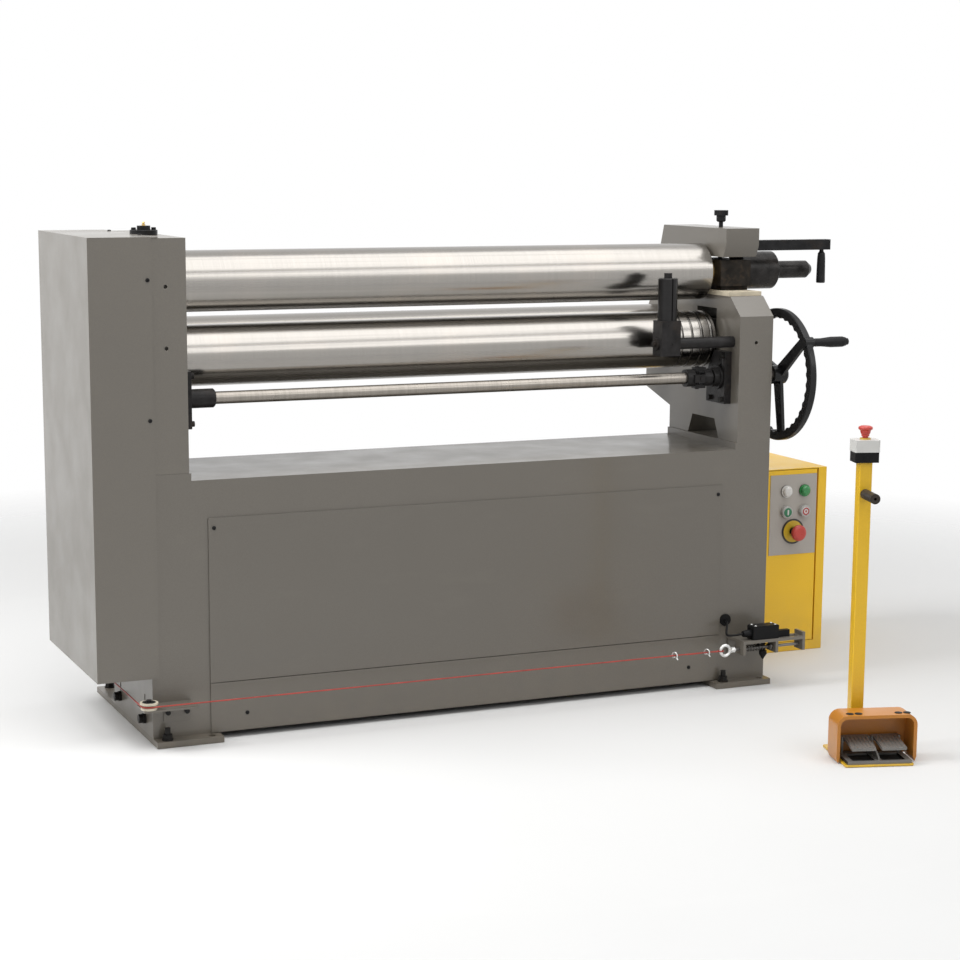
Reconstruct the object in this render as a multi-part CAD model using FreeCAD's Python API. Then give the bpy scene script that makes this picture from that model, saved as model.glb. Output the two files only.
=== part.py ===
"""Powered three-roll slip roll with a drop-end top roll, trip wire, control cabinet and foot pedestal.

Millimetres, +Z up. The origin lies on the floor, at the centre of the four anchor holes in the feet.
+X runs along the rolls from the gear cover to the drop end, and +Y runs from the operator to the back.
Depths named D are measured back from the front face of the base.
"""
import FreeCAD, Part
import math
import os

V = FreeCAD.Vector
os.makedirs("parts", exist_ok=True)

# ---- fits
RUN = 0.05            # running clearance of a shaft in its bore, on the radius
FREE = 0.3            # gap between pieces that pass each other
THIN = 0.5            # gap at the sides of a hinge

# ---- feet
FOOT_LENGTH = 516.0
FOOT_WIDTH = 144.0
FOOT_THICK = 13.0
FOOT_TOE = 33.0       # how far the foot stands out in front of the base
FOOT_LUG = 10.0       # upright lug inside the base wall
ANCHOR_R = 7.5
ANCHOR_IN = 22.0      # anchor hole to the right edge of the foot
ANCHOR_END = 16.0     # holes to the front and rear ends of the foot
LEVEL_IN = 26.0       # levelling bolt to the left edge of the foot
LEVEL_R = 6.0

# ---- base cabinet and stands
STAND_GAP = 1300.0
STAND_THICK = 87.0
BASE_DEPTH = 321.0
WALL = 6.0
TABLE_Z = 553.0
PAD_STEP = 15.5
PAD_LIP = 4.0
STAND_DEPTH = 443.0
STAND_HEEL = 53.0     # height of the narrow lower back of the stands
HEEL_SLOPE = 35.5
LEFT_OVER = 98.0      # top of the left stand above the top roll axis
SEAT_UNDER = 52.0     # seat of the drop end below the top roll axis
NOSE_DEPTH = 47.0
NOSE_DROP = 43.0
TOWER_RISE = 25.0     # the hinge tower above the seat
TOWER_FRONT = 290.0

# ---- rolls
ROLL_R = 65.0
ROLL_END = 10.0       # roll end to the stand
ROLL_CHAMFER = 2.0
UPPER_D = 172.5
ROLL_RISE = 399.0     # top roll axis above the table
FRONT_AHEAD = 20.0    # front roll ahead of the top roll
FRONT_BELOW = 155.0
REAR_BEHIND = 196.5
REAR_BELOW = 154.0
JOURNAL_R = 27.0
REAR_JOURNAL_R = 24.0
END_JOURNAL_R = 20.0  # top roll journal in the drop-end housing
GROOVE_R = (5.0, 4.0, 3.2, 2.6)
GROOVE_PITCH = 25.0
GROOVE_IN = 13.0      # first groove to the right end of the roll
FRONT_LIFT = 24.0
REAR_LIFT = 60.0
REAR_SLOPE = 45.0     # slope of the rear slides, in degrees
BLOCK_W = 90.0
BLOCK_H = 96.0
REAR_BLOCK_W = 76.0
REAR_BLOCK_H = 66.0
SCREW_R = 12.0
JACK_OUT = 64.0       # rear jack screws past the back of the stands
KEEPER_T = 8.0
KEEPER_RIM = 10.0
KEEPER_LAP = 8.0

# ---- gear train
MODULE = 8.0
TEETH_ROLL = 22
TEETH_IDLER = 44
TEETH_PINION = 14
GEAR_FACE = 35.0
GEAR_OUT = 28.0       # stand face to the gears
IDLER_AHEAD = -27.5   # idler axis behind the top roll
PINION_BEHIND = 42.5  # pinion axis behind the top roll
STUD_R = 20.0
SHAFT_OUT_R = 22.0
SHAFT_IN = 58.0       # output shaft inside the reducer

# ---- gear motor
REDUCER_L = 150.0
REDUCER_R = 70.0
REDUCER_FLANGE_R = 78.0
REDUCER_FLANGE_T = 14.0
REDUCER_PILOT = 45.0
GEARCASE_W = 110.0
GEARCASE_DROP = 84.0
MOTOR_L = 230.0
MOTOR_R = 68.0
MOTOR_FACE = 18.0
COWL_L = 60.0
TERMINAL_BOX = (90.0, 42.0, 80.0)
TERMINAL_AT = 50.0    # terminal box behind the motor's front face
FINS = 16
FIN_T = 5.0
FIN_RISE = 8.0

# ---- gear cover
COVER_OUT = 116.0     # cover beyond the left stand
COVER_DEPTH = 438.0
COVER_SHEET = 2.0
COVER_BOTTOM = 142.0
COVER_LAP = 15.0      # front flange over the stand
COVER_TOP_LAP = 29.0

# ---- adjusting shaft and handwheel
SHAFT_D = 66.0
SHAFT_UNDER = 82.0    # adjusting shaft below the front roll axis
SHAFT_R = 13.2
PLATE_T = 18.0
PLATE_FRONT = 34.0
PLATE_W = 82.0
PLATE_H = 120.0
JOINT_L = 64.0        # universal joint
JOINT_IN = 40.0       # joint to the right stand's inner face
WHEEL_R = 145.0
RIM_OUT = 9.0         # rim outside the middle circle
RIM_IN = 13.0
RIM_W = 16.0
SCALLOPS = 36
SCALLOP_R = 12.0
SCALLOP_DEEP = 3.5
SPOKE_W = (30.0, 22.0)
SPOKE_T = 8.0
SPOKE_ANGLES = (141.5, 261.5, 21.5)
GRIP_ANGLE = 145.0
WHEEL_OUT = 58.0      # rim plane to the right stand

# ---- drop end
SEAT_LINER = 10.0
HOUSING_IN = 8.0      # housing behind the stand's inner face
HOUSING_W = 134.0
HOUSING_SHOE = 14.0   # shoe set back from the housing, front and rear
HOUSING_TOP = 28.0
HOUSING_BOTTOM = 32.0
NOSE_R = 44.0
NOSE_L = 66.0
CAP_L = 28.0
LIFT_BAR_R = 20.5
LIFT_BAR_L = 107.0
YOKE_FRONT = 72.0
YOKE_UNDER = 36.0     # underside above the top roll axis
YOKE_TOP = 101.5      # top above the top roll axis
PIN_D = 345.0
PIN_RISE = 23.0       # hinge pin above the top roll axis
PIN_R = 12.0
EAR_R = 28.0
EAR_T = 22.0
LATCH_D = 108.0
LATCH_RISE = 61.0
LATCH_SIDE = 24.0
LATCH_L = 210.0
KNOB_R = 18.0

# ---- cone rolling attachment
CONE_D = 33.0
CONE_BAR_R = 13.0
CONE_BLOCK = (48.0, 43.0, 79.0)
CONE_BLOCK_LEFT = 195.0   # block's left face to the right stand
CONE_ROLLER_R = 21.8
CONE_ROLLER_H = 95.0

# ---- trip wire
WIRE_R = 1.5
WIRE_OUT = 62.0       # wire in front of the base
WIRE_Z = 98.0
PULLEY_R = 19.0
PULLEY_OUT = 20.0     # pulley axis beyond the left stand
EYE_IN = 54.0         # eye to the right stand's inner face
BRACKET_IN = 16.0     # trip bracket's left end inside the stand
BRACKET_L = 165.0
BRACKET_HALF = 18.0
TRIP_T = 7.0

# ---- control cabinet
CAB_FRONT = 238.0
CAB_DEPTH = 300.0
CAB_WIDTH = 314.0
CAB_HEIGHT = 460.0
CAB_SHEET = 2.0
DOOR_T = 16.0
DOOR_MARGIN = 23.0
PANEL_SIZE = (132.5, 199.5)
PANEL_FALL = 14.5     # control plate below the top of the case
COLUMNS = (45.0, 96.5)
STOP_COLUMN = 67.0
ROWS = (41.0, 92.0, 142.0)
BEZEL_R = 15.0
MUSHROOM_R = 20.0

# ---- foot pedestal
PED_X = 459.3
PED_Y = -917.0
PED_TURN = -16.3
PED_PLATE = (144.0, 162.0, 4.0)
HOOD_W = 168.0
HOOD_RIGHT = 2.0      # hood to the right of the plate's middle
HOOD_H = 99.0
HOOD_DEPTH = 62.0
HOOD_WALL = 7.0
HOOD_BACK = 4.0
HOOD_ROUND = 22.0
HOOD_HOLE_R = 6.5
POST = 27.0
POST_TOP = 605.0
POST_U = 59.0
POST_V = 134.0
BOX_SIZE = (52.0, 42.0, 46.0)

# ---- places that follow from the sizes
ANCHOR_SPAN = STAND_GAP + 2 * STAND_THICK - FOOT_WIDTH
X_LEFT = -ANCHOR_SPAN / 2 - (FOOT_WIDTH - ANCHOR_IN)
X_IN_L = X_LEFT + STAND_THICK
X_IN_R = X_IN_L + STAND_GAP
X_RIGHT = X_IN_R + STAND_THICK
Y0 = -FOOT_LENGTH / 2 + FOOT_TOE
PAD_Z = TABLE_Z + PAD_STEP
UPPER_Z = TABLE_Z + ROLL_RISE
LEFT_TOP, SEAT_Z = UPPER_Z + LEFT_OVER, UPPER_Z - SEAT_UNDER
FRONT_D, FRONT_Z = UPPER_D - FRONT_AHEAD, UPPER_Z - FRONT_BELOW
SHAFT_Z = FRONT_Z - SHAFT_UNDER
REAR_D, REAR_Z = UPPER_D + REAR_BEHIND, UPPER_Z - REAR_BELOW
SLOPE = math.radians(REAR_SLOPE)
REAR_JACK = (STAND_DEPTH - REAR_D) / math.cos(SLOPE) - REAR_BLOCK_H / 2 + JACK_OUT
REAR_DIR = V(0, -math.cos(SLOPE), math.sin(SLOPE))


# ---- helpers
def box(x0, x1, d0, d1, z0, z1):
    """A box from its limits; d is depth behind the front face."""
    return Part.makeBox(x1 - x0, d1 - d0, z1 - z0, V(x0, Y0 + d0, z0))


def rod(x, d, z, axis, r, length):
    """A round bar from a point along an axis."""
    return Part.makeCylinder(r, length, V(x, Y0 + d, z), axis)


def xrod(x0, x1, d, z, r):
    return rod(x0, d, z, V(1, 0, 0), r, x1 - x0)


def profile(points, x0, x1):
    """An outline of (depth, height) points, extruded along X."""
    loop = [V(x0, Y0 + d, z) for d, z in points]
    return Part.Face(Part.makePolygon(loop + loop[:1])).extrude(V(x1 - x0, 0, 0))


def front_profile(points, d0, d1):
    """An outline of (x, height) points, extruded back along Y."""
    loop = [V(x, Y0 + d0, z) for x, z in points]
    return Part.Face(Part.makePolygon(loop + loop[:1])).extrude(V(0, d1 - d0, 0))


def turned(points, x, d, z, axis):
    """A solid of revolution from (along the axis, radius) points."""
    loop = [V(r, 0, a) for a, r in points]
    face = Part.Face(Part.makePolygon(loop + loop[:1]))
    solid = face.revolve(V(0, 0, 0), V(0, 0, 1), 360)
    turn = FreeCAD.Rotation(V(0, 0, 1), axis)
    solid.Placement = FreeCAD.Placement(V(x, Y0 + d, z), turn)
    return solid


def join(first, *rest):
    return first.multiFuse(list(rest)).removeSplitter()


def hexagon(x, d, z, axis, flats, length):
    """A hexagon bar, as of a nut or bolt head."""
    r = flats / math.sqrt(3)
    corners = [V(r * math.cos(math.radians(60 * i)), r * math.sin(math.radians(60 * i)), 0) for i in range(6)]
    solid = Part.Face(Part.makePolygon(corners + corners[:1])).extrude(V(0, 0, length))
    solid.Placement = FreeCAD.Placement(V(x, Y0 + d, z), FreeCAD.Rotation(V(0, 0, 1), axis))
    return solid


def round_edges(solid, r, chosen):
    """Fillet the edges that the test picks."""
    edges = [e for e in solid.Edges if chosen(e)]
    return solid.makeFillet(r, edges) if edges else solid


def save(name, *solids):
    shape = solids[0] if len(solids) == 1 else Part.makeCompound(list(solids))
    shape.exportStep(f"parts/{name}.step")


X, Y, Z = V(1, 0, 0), V(0, 1, 0), V(0, 0, 1)
BACK_X, FRONT_Y, DOWN = V(-1, 0, 0), V(0, -1, 0), V(0, 0, -1)

# ==== feet: a floor plate with an upright lug that the wall bolts to ====
FOOT_XS = (X_LEFT, X_LEFT + ANCHOR_SPAN)
FOOT_D0, FOOT_D1 = -FOOT_TOE, FOOT_LENGTH - FOOT_TOE
LUG_DS = ((62.0, 265.0), (62.0, 130.0))
LUG_D0, LUG_TOP = 30.0, 110.0
LUG_Z, LUG_BOLT_R = 43.0, 4.0
LUG_X = ((X_LEFT + WALL, 1), (X_RIGHT - WALL, -1))
feet = []
for foot_x, (lug_x, side), lug_ds in zip(FOOT_XS, LUG_X, LUG_DS):
    lug_lo, lug_hi = sorted((lug_x, lug_x + side * FOOT_LUG))
    plate = box(foot_x, foot_x + FOOT_WIDTH, FOOT_D0, FOOT_D1, 0, FOOT_THICK)
    lug = box(lug_lo, lug_hi, LUG_D0, BASE_DEPTH - WALL - FREE, FOOT_THICK, LUG_TOP)
    foot = join(plate, lug)
    for end in (FOOT_D0 + ANCHOR_END, FOOT_D1 - ANCHOR_END):
        foot = foot.cut(rod(foot_x + FOOT_WIDTH - ANCHOR_IN, end, -1, Z, ANCHOR_R, FOOT_THICK + 2))
        foot = foot.cut(rod(foot_x + LEVEL_IN, end, -1, Z, LEVEL_R, FOOT_THICK + 2))
    for lug_d in lug_ds:
        foot = foot.cut(xrod(lug_lo - 1, lug_hi + 1, lug_d, LUG_Z, LUG_BOLT_R))
    feet.append(foot)
save("feet", *feet)

# Levelling bolts: a stud through the foot with a washer and a nut.
STUD_UP = 26.0        # stud above the foot
WASHER_R, WASHER_T = 12.0, 2.5
NUT_FLATS, NUT_T = 18.0, 10.0
levels = []
for foot_x in FOOT_XS:
    for end in (FOOT_D0 + ANCHOR_END, FOOT_D1 - ANCHOR_END):
        stud = rod(foot_x + LEVEL_IN, end, 0, Z, LEVEL_R, FOOT_THICK + STUD_UP)
        washer = rod(foot_x + LEVEL_IN, end, FOOT_THICK, Z, WASHER_R, WASHER_T)
        nut = hexagon(foot_x + LEVEL_IN, end, FOOT_THICK + WASHER_T, Z, NUT_FLATS, NUT_T)
        levels.append(join(stud, washer, nut))

# Bolts that hold the base walls to the lugs, through upright slots in the walls.
SLOT_LOW, SLOT_HIGH = 33.0, 95.0
HEAD_FLATS, HEAD_T = 17.0, 9.0
WALL_WASHER_R, WALL_WASHER_T = 11.0, 6.0
frame_bolts = levels
for wall_x, inward, lug_ds in ((X_LEFT, X, LUG_DS[0]), (X_RIGHT, BACK_X, LUG_DS[1])):
    for lug_d in lug_ds:
        out = wall_x - inward.x * (HEAD_T + WALL_WASHER_T)
        shank = rod(out, lug_d, LUG_Z, inward, LUG_BOLT_R, HEAD_T + WALL_WASHER_T + WALL + FOOT_LUG)
        head = hexagon(out, lug_d, LUG_Z, inward, HEAD_FLATS, HEAD_T)
        washer = rod(out + inward.x * HEAD_T, lug_d, LUG_Z, inward, WALL_WASHER_R, WALL_WASHER_T)
        frame_bolts.append(join(shank, head, washer))

# ==== base cabinet: a welded steel box with the table and two raised pads ====
shell = front_profile(
    [(X_LEFT, FOOT_THICK), (X_RIGHT, FOOT_THICK), (X_RIGHT, PAD_Z), (X_IN_R - PAD_LIP, PAD_Z),
     (X_IN_R - PAD_LIP, TABLE_Z), (X_IN_L + PAD_LIP, TABLE_Z), (X_IN_L + PAD_LIP, PAD_Z), (X_LEFT, PAD_Z)],
    0, BASE_DEPTH)
inside = box(X_LEFT + WALL, X_RIGHT - WALL, WALL, BASE_DEPTH - WALL, FOOT_THICK - 1, TABLE_Z - WALL)
PANEL_IN = (38.0, 36.0)       # panel edges inside the stands
PANEL_X0, PANEL_X1 = X_IN_L + PANEL_IN[0], X_IN_R - PANEL_IN[1]
PANEL_DROP, PANEL_SEAM = 80.0, 122.0
PANEL_TOP = TABLE_Z - PANEL_DROP
PANEL_T = 3.0
PANEL_LAP, OPENING_LOW, OPENING_DROP = 24.0, 65.0, 34.0
opening = box(PANEL_X0 + PANEL_LAP, PANEL_X1 - PANEL_LAP, -1, WALL + 1, OPENING_LOW, PANEL_TOP - OPENING_DROP)
base = shell.cut(inside).cut(opening)
GROMMET_IN = 20.0
GROMMET_X, GROMMET_Z, GROMMET_R = X_IN_R - GROMMET_IN, 155.0, 11.0
base = base.cut(rod(GROMMET_X, -1, GROMMET_Z, Y, GROMMET_R, WALL + 2))
for wall_x, lug_ds in ((X_LEFT - 1, LUG_DS[0]), (X_RIGHT - WALL - 1, LUG_DS[1])):
    for lug_d in lug_ds:
        slot = box(wall_x, wall_x + WALL + 2, lug_d - LUG_BOLT_R, lug_d + LUG_BOLT_R, SLOT_LOW, SLOT_HIGH)
        base = base.cut(slot)

# Gear train places: the pinion leaves the base wall, the idler sits on a stud in the left stand.
R_ROLL, R_IDLER, R_PINION = (MODULE * n / 2 for n in (TEETH_ROLL, TEETH_IDLER, TEETH_PINION))
IDLER_D = UPPER_D - IDLER_AHEAD
IDLER_Z = UPPER_Z - math.sqrt((R_ROLL + R_IDLER) ** 2 - IDLER_AHEAD ** 2)
PINION_D = UPPER_D + PINION_BEHIND
PINION_Z = IDLER_Z - math.sqrt((R_IDLER + R_PINION) ** 2 - (PINION_D - IDLER_D) ** 2)
base = base.cut(xrod(X_LEFT - 1, X_LEFT + WALL + 1, PINION_D, PINION_Z, REDUCER_PILOT))
SCREW_EDGE, SCREW_DROP = 12.0, 21.0
SKIRT_SCREW_IN, SKIRT_SCREW_Z = 79.5, 51.0
SCREW_ROWS = ((SCREW_EDGE, PANEL_TOP - SCREW_DROP), (SKIRT_SCREW_IN, SKIRT_SCREW_Z))
PANEL_SCREWS = []
for inset, screw_z in SCREW_ROWS:
    PANEL_SCREWS += [(PANEL_X0 + inset, screw_z), (PANEL_X1 - inset, screw_z)]
PANEL_SCREW_R = 2.5
for screw_x, screw_z in PANEL_SCREWS:
    base = base.cut(rod(screw_x, -1, screw_z, Y, PANEL_SCREW_R, WALL + 2))
save("base_cabinet", base)

# Access panel over the front opening, and the skirt below it.
def cover_sheet(z0, z1):
    sheet = box(PANEL_X0, PANEL_X1, -PANEL_T, 0, z0, z1)
    for screw_x, screw_z in PANEL_SCREWS:
        if z0 < screw_z < z1:
            sheet = sheet.cut(rod(screw_x, -PANEL_T - 1, screw_z, Y, PANEL_SCREW_R, PANEL_T + 2))
    return sheet


save("front_panels", cover_sheet(PANEL_SEAM, PANEL_TOP), cover_sheet(FOOT_THICK + 2, PANEL_SEAM - 1.5))
screws = [
    turned([(0, 0), (0, 2.5), (1.5, 4.2), (3, 4.2), (3, PANEL_SCREW_R), (3 + PANEL_T + WALL, PANEL_SCREW_R),
            (3 + PANEL_T + WALL, 0)], sx, -PANEL_T - 3, sz, Y) for sx, sz in PANEL_SCREWS]

# ==== stands ====
HEEL_Z = PAD_Z + STAND_HEEL
ARCH_DS, ARCH_RISE = (84.7, 106.7, 208.9, 229.0), 44.5
ARCH = [(ARCH_DS[0], PAD_Z - 1), (ARCH_DS[1], PAD_Z + ARCH_RISE), (ARCH_DS[2], PAD_Z + ARCH_RISE),
        (ARCH_DS[3], PAD_Z - 1)]


def front_window(x0, x1, rim=0.0):
    """The guide window of the front roll's bearing block, grown by a rim."""
    half = BLOCK_W / 2 + RUN + rim
    return box(x0, x1, FRONT_D - half, FRONT_D + half, FRONT_Z - BLOCK_H / 2 - FREE - rim,
               FRONT_Z + BLOCK_H / 2 + FRONT_LIFT + 1 + rim)


def sloped(x0, x1, across, below, above):
    """A bar around the rear slide line: half width across it, reach below and above the roll axis."""
    bar = Part.makeBox(x1 - x0, 2 * across, below + above, V(x0, -across, -below))
    bar.Placement = FreeCAD.Placement(V(0, Y0 + REAR_D, REAR_Z), FreeCAD.Rotation(V(0, 0, 1), REAR_DIR))
    return bar


def rear_window(x0, x1, rim=0.0):
    return sloped(x0, x1, REAR_BLOCK_W / 2 + RUN + rim, REAR_BLOCK_H / 2 + FREE + rim,
                  REAR_BLOCK_H / 2 + REAR_LIFT + 1 + rim)


def rear_along(reach):
    """A point on the rear slide line, as depth and height."""
    return REAR_D + REAR_DIR.y * reach, REAR_Z + REAR_DIR.z * reach


JACK_DEEP = 62.0      # front jack screw below its block


def guides(stand, x0, x1):
    """Windows, jack screw bores and the foot arch that both stands share."""
    mid = (x0 + x1) / 2
    stand = stand.cut(front_window(x0 - 1, x1 + 1)).cut(rear_window(x0 - 1, x1 + 1))
    stand = stand.cut(profile(ARCH, x0 - 1, x1 + 1))
    jack_z = FRONT_Z - BLOCK_H / 2 - JACK_DEEP
    stand = stand.cut(rod(mid, FRONT_D, jack_z - 2, Z, SCREW_R + RUN, JACK_DEEP + 3))
    rear_d, rear_z = rear_along(-REAR_BLOCK_H / 2 - REAR_JACK)
    return stand.cut(rod(mid, rear_d, rear_z, REAR_DIR, SCREW_R + RUN, REAR_JACK + 1))


LEFT_BACK = COVER_DEPTH - COVER_SHEET
left_outline = [(0, PAD_Z), (0, LEFT_TOP), (LEFT_BACK, LEFT_TOP), (LEFT_BACK, HEEL_Z + HEEL_SLOPE),
                (BASE_DEPTH - 1, HEEL_Z), (BASE_DEPTH - 1, PAD_Z)]
left_stand = guides(profile(left_outline, X_LEFT, X_IN_L), X_LEFT, X_IN_L)
BUSH_R = 36.0
SHAFT_BLIND = 40.0
STUD_SEAT = 40.0
left_stand = left_stand.cut(xrod(X_LEFT - 1, X_IN_L + 1, UPPER_D, UPPER_Z, BUSH_R))
left_stand = left_stand.cut(xrod(X_IN_L - SHAFT_BLIND - 1, X_IN_L + 1, SHAFT_D, SHAFT_Z, SHAFT_R + RUN))
left_stand = left_stand.cut(xrod(X_LEFT - 1, X_LEFT + STUD_SEAT, IDLER_D, IDLER_Z, STUD_R))
STAND_MIDS = ((X_LEFT + X_IN_L) / 2, (X_IN_R + X_RIGHT) / 2)
OIL_HOLE_R, OIL_HOLE_L, OIL_RISE = 4.0, 12.0, 30.0
for hole_z in (UPPER_Z, FRONT_Z + OIL_RISE):
    left_stand = left_stand.cut(rod(STAND_MIDS[0], -1, hole_z, Y, OIL_HOLE_R, OIL_HOLE_L + 1))
save("left_stand", left_stand)

PIN_Z = UPPER_Z + PIN_RISE
TOWER_Z = SEAT_Z + TOWER_RISE
TOWER_BACK = (45.0, 75.0)     # bevel behind the tower: depth and height
right_outline = [(0, PAD_Z), (0, SEAT_Z - NOSE_DROP), (NOSE_DEPTH, SEAT_Z), (TOWER_FRONT, SEAT_Z),
                 (TOWER_FRONT, TOWER_Z), (STAND_DEPTH - TOWER_BACK[0], TOWER_Z),
                 (STAND_DEPTH, TOWER_Z - TOWER_BACK[1]),
                 (STAND_DEPTH, HEEL_Z + HEEL_SLOPE), (BASE_DEPTH - 1, HEEL_Z), (BASE_DEPTH - 1, PAD_Z)]
right_stand = profile(right_outline, X_IN_R, X_RIGHT)
for ear_x in (X_IN_R, X_RIGHT - EAR_T):
    ear = box(ear_x, ear_x + EAR_T, PIN_D - EAR_R, PIN_D + EAR_R, TOWER_Z - 1, PIN_Z)
    right_stand = join(right_stand, ear, xrod(ear_x, ear_x + EAR_T, PIN_D, PIN_Z, EAR_R))
right_stand = guides(right_stand, X_IN_R, X_RIGHT)
right_stand = right_stand.cut(xrod(X_IN_R - 1, X_RIGHT + 1, SHAFT_D, SHAFT_Z, SHAFT_R + RUN))
right_stand = right_stand.cut(xrod(X_IN_R - 1, X_RIGHT + 1, PIN_D, PIN_Z, PIN_R))
CONE_Z = FRONT_Z + 1
CONE_SEAT = 40.0
right_stand = right_stand.cut(xrod(X_IN_R - 1, X_IN_R + CONE_SEAT, CONE_D, CONE_Z, CONE_BAR_R))
right_stand = right_stand.cut(rod(STAND_MIDS[1], -1, FRONT_Z, Y, OIL_HOLE_R, OIL_HOLE_L + 1))
save("right_stand", right_stand)


# ==== bearing blocks, guide keepers and jack screws of the two adjustable rolls ====
def front_block(x0, x1):
    half_w, half_h = BLOCK_W / 2, BLOCK_H / 2
    block = box(x0, x1, FRONT_D - half_w, FRONT_D + half_w, FRONT_Z - half_h, FRONT_Z + half_h)
    return block.cut(xrod(x0 - 1, x1 + 1, FRONT_D, FRONT_Z, JOURNAL_R + RUN))


def rear_block(x0, x1):
    block = sloped(x0, x1, REAR_BLOCK_W / 2, REAR_BLOCK_H / 2, REAR_BLOCK_H / 2)
    return block.cut(xrod(x0 - 1, x1 + 1, REAR_D, REAR_Z, REAR_JOURNAL_R + RUN))


BLOCK_XS = ((X_LEFT + FREE, X_IN_L - FREE), (X_IN_R + FREE, X_RIGHT - FREE))
JACK_Z = FRONT_Z - BLOCK_H / 2 - JACK_DEEP
lift_screws = [rod(mid, FRONT_D, JACK_Z, Z, SCREW_R, JACK_DEEP) for mid in STAND_MIDS]
SQUARE, SQUARE_L = 16.0, 18.0     # square head of a rear jack screw
save("front_bearing_blocks", *[front_block(*xs) for xs in BLOCK_XS], *lift_screws)


def rear_screw(x):
    """A jack screw with a square head that stands out behind the stand."""
    d, z = rear_along(-REAR_BLOCK_H / 2 - REAR_JACK)
    shank = rod(x, d, z, REAR_DIR, SCREW_R, REAR_JACK)
    head_d, head_z = rear_along(-REAR_BLOCK_H / 2 - REAR_JACK - SQUARE_L)
    head = Part.makeBox(SQUARE, SQUARE, SQUARE_L + 0.5, V(-SQUARE / 2, -SQUARE / 2, 0))
    head.Placement = FreeCAD.Placement(V(x, Y0 + head_d, head_z), FreeCAD.Rotation(V(0, 0, 1), REAR_DIR))
    return join(shank, head)


save("rear_bearing_blocks", *[rear_block(*xs) for xs in BLOCK_XS], *[rear_screw(mid) for mid in STAND_MIDS])


def keeper(x0, x1, window):
    """A plate frame that holds the blocks in their windows from outside."""
    return window(x0, x1, KEEPER_RIM).cut(window(x0 - 1, x1 + 1, -KEEPER_LAP))


keepers = []
for x0 in (X_LEFT - KEEPER_T, X_RIGHT):
    for window in (front_window, rear_window):
        keepers.append(keeper(x0, x0 + KEEPER_T, window))

# ==== rolls ====
ROLL_X0, ROLL_X1 = X_IN_L + ROLL_END, X_IN_R - ROLL_END


def roll(x_left, x_right, journal, d, z, right_journal=None):
    """A turned roll with a journal at each end and chamfered ends."""
    start, end, c = ROLL_X0 - x_left, ROLL_X1 - x_left, ROLL_CHAMFER
    last_journal = right_journal or journal
    points = [(0, 0), (0, journal), (start, journal), (start, ROLL_R - c), (start + c, ROLL_R),
              (end - c, ROLL_R), (end, ROLL_R - c), (end, last_journal), (x_right - x_left, last_journal),
              (x_right - x_left, 0)]
    return turned(points, x_left, d, z, X)


GEAR_X1 = X_LEFT - GEAR_OUT
GEAR_X0 = GEAR_X1 - GEAR_FACE
GEAR_SPIGOT = 12.0    # top roll journal past its gear
HOUSING_X0 = X_IN_R + HOUSING_IN
save("upper_roll", roll(GEAR_X0 - GEAR_SPIGOT, X_RIGHT + NOSE_L, JOURNAL_R, UPPER_D, UPPER_Z, END_JOURNAL_R))

front_roll = roll(X_LEFT + FREE, X_RIGHT - FREE, JOURNAL_R, FRONT_D, FRONT_Z)
groove_x = ROLL_X1 - GROOVE_IN
for groove_r in GROOVE_R:
    ring = Part.makeTorus(ROLL_R, groove_r, V(groove_x, Y0 + FRONT_D, FRONT_Z), X)
    front_roll = front_roll.cut(ring)
    groove_x -= GROOVE_PITCH
save("front_roll", front_roll)
save("rear_roll", roll(X_LEFT + FREE, X_RIGHT - FREE, REAR_JOURNAL_R, REAR_D, REAR_Z))

# Brass bushes of the top roll: one in the left stand, one flanged in the drop-end housing.
BUSH_OUT, BUSH_WALL = 3.0, 3.5
left_bush = xrod(X_LEFT, X_IN_L + BUSH_OUT, UPPER_D, UPPER_Z, BUSH_R).cut(
    xrod(X_LEFT - 1, X_IN_L + BUSH_OUT + 1, UPPER_D, UPPER_Z, JOURNAL_R + RUN))
FLANGE_X0 = ROLL_X1 + FREE
BUSH_BORE_R = END_JOURNAL_R + BUSH_WALL
right_bush = join(xrod(FLANGE_X0, HOUSING_X0, UPPER_D, UPPER_Z, BUSH_R - FREE),
                  xrod(HOUSING_X0, X_RIGHT, UPPER_D, UPPER_Z, BUSH_BORE_R))
right_bush = right_bush.cut(xrod(FLANGE_X0 - 1, X_RIGHT + 1, UPPER_D, UPPER_Z, END_JOURNAL_R + RUN))
save("top_roll_bushes", left_bush, right_bush)

# ==== drop end: seat, bearing housing, end cap with the lifting bar ====
HOUSE_D0, HOUSE_D1 = UPPER_D - HOUSING_W / 2, UPPER_D + HOUSING_W / 2
LINER_IN = (8.0, 2.0)         # liner behind the seat's nose and ahead of the tower
liner = box(X_IN_R, X_RIGHT, NOSE_DEPTH + LINER_IN[0], TOWER_FRONT - LINER_IN[1], SEAT_Z, SEAT_Z + SEAT_LINER)
save("guide_plates", liner, *keepers)
block = box(HOUSING_X0, X_RIGHT, HOUSE_D0, HOUSE_D1, UPPER_Z - HOUSING_BOTTOM, UPPER_Z + HOUSING_TOP)
shoe = box(HOUSING_X0 + 10, X_RIGHT, HOUSE_D0 + HOUSING_SHOE, HOUSE_D1 - HOUSING_SHOE,
           SEAT_Z + SEAT_LINER, UPPER_Z)
nose = xrod(X_RIGHT, X_RIGHT + NOSE_L, UPPER_D, UPPER_Z, NOSE_R)
housing = join(block, shoe, nose)
housing = housing.cut(xrod(HOUSING_X0 - 1, X_RIGHT, UPPER_D, UPPER_Z, BUSH_BORE_R))
housing = housing.cut(xrod(X_RIGHT - 1, X_RIGHT + NOSE_L + 1, UPPER_D, UPPER_Z, END_JOURNAL_R + FREE))
save("bearing_housing", housing)
CAP_EDGE, BAR_TAPER = 2.0, (12.0, 9.0)
BAR_TIP = CAP_L + LIFT_BAR_L
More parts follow.
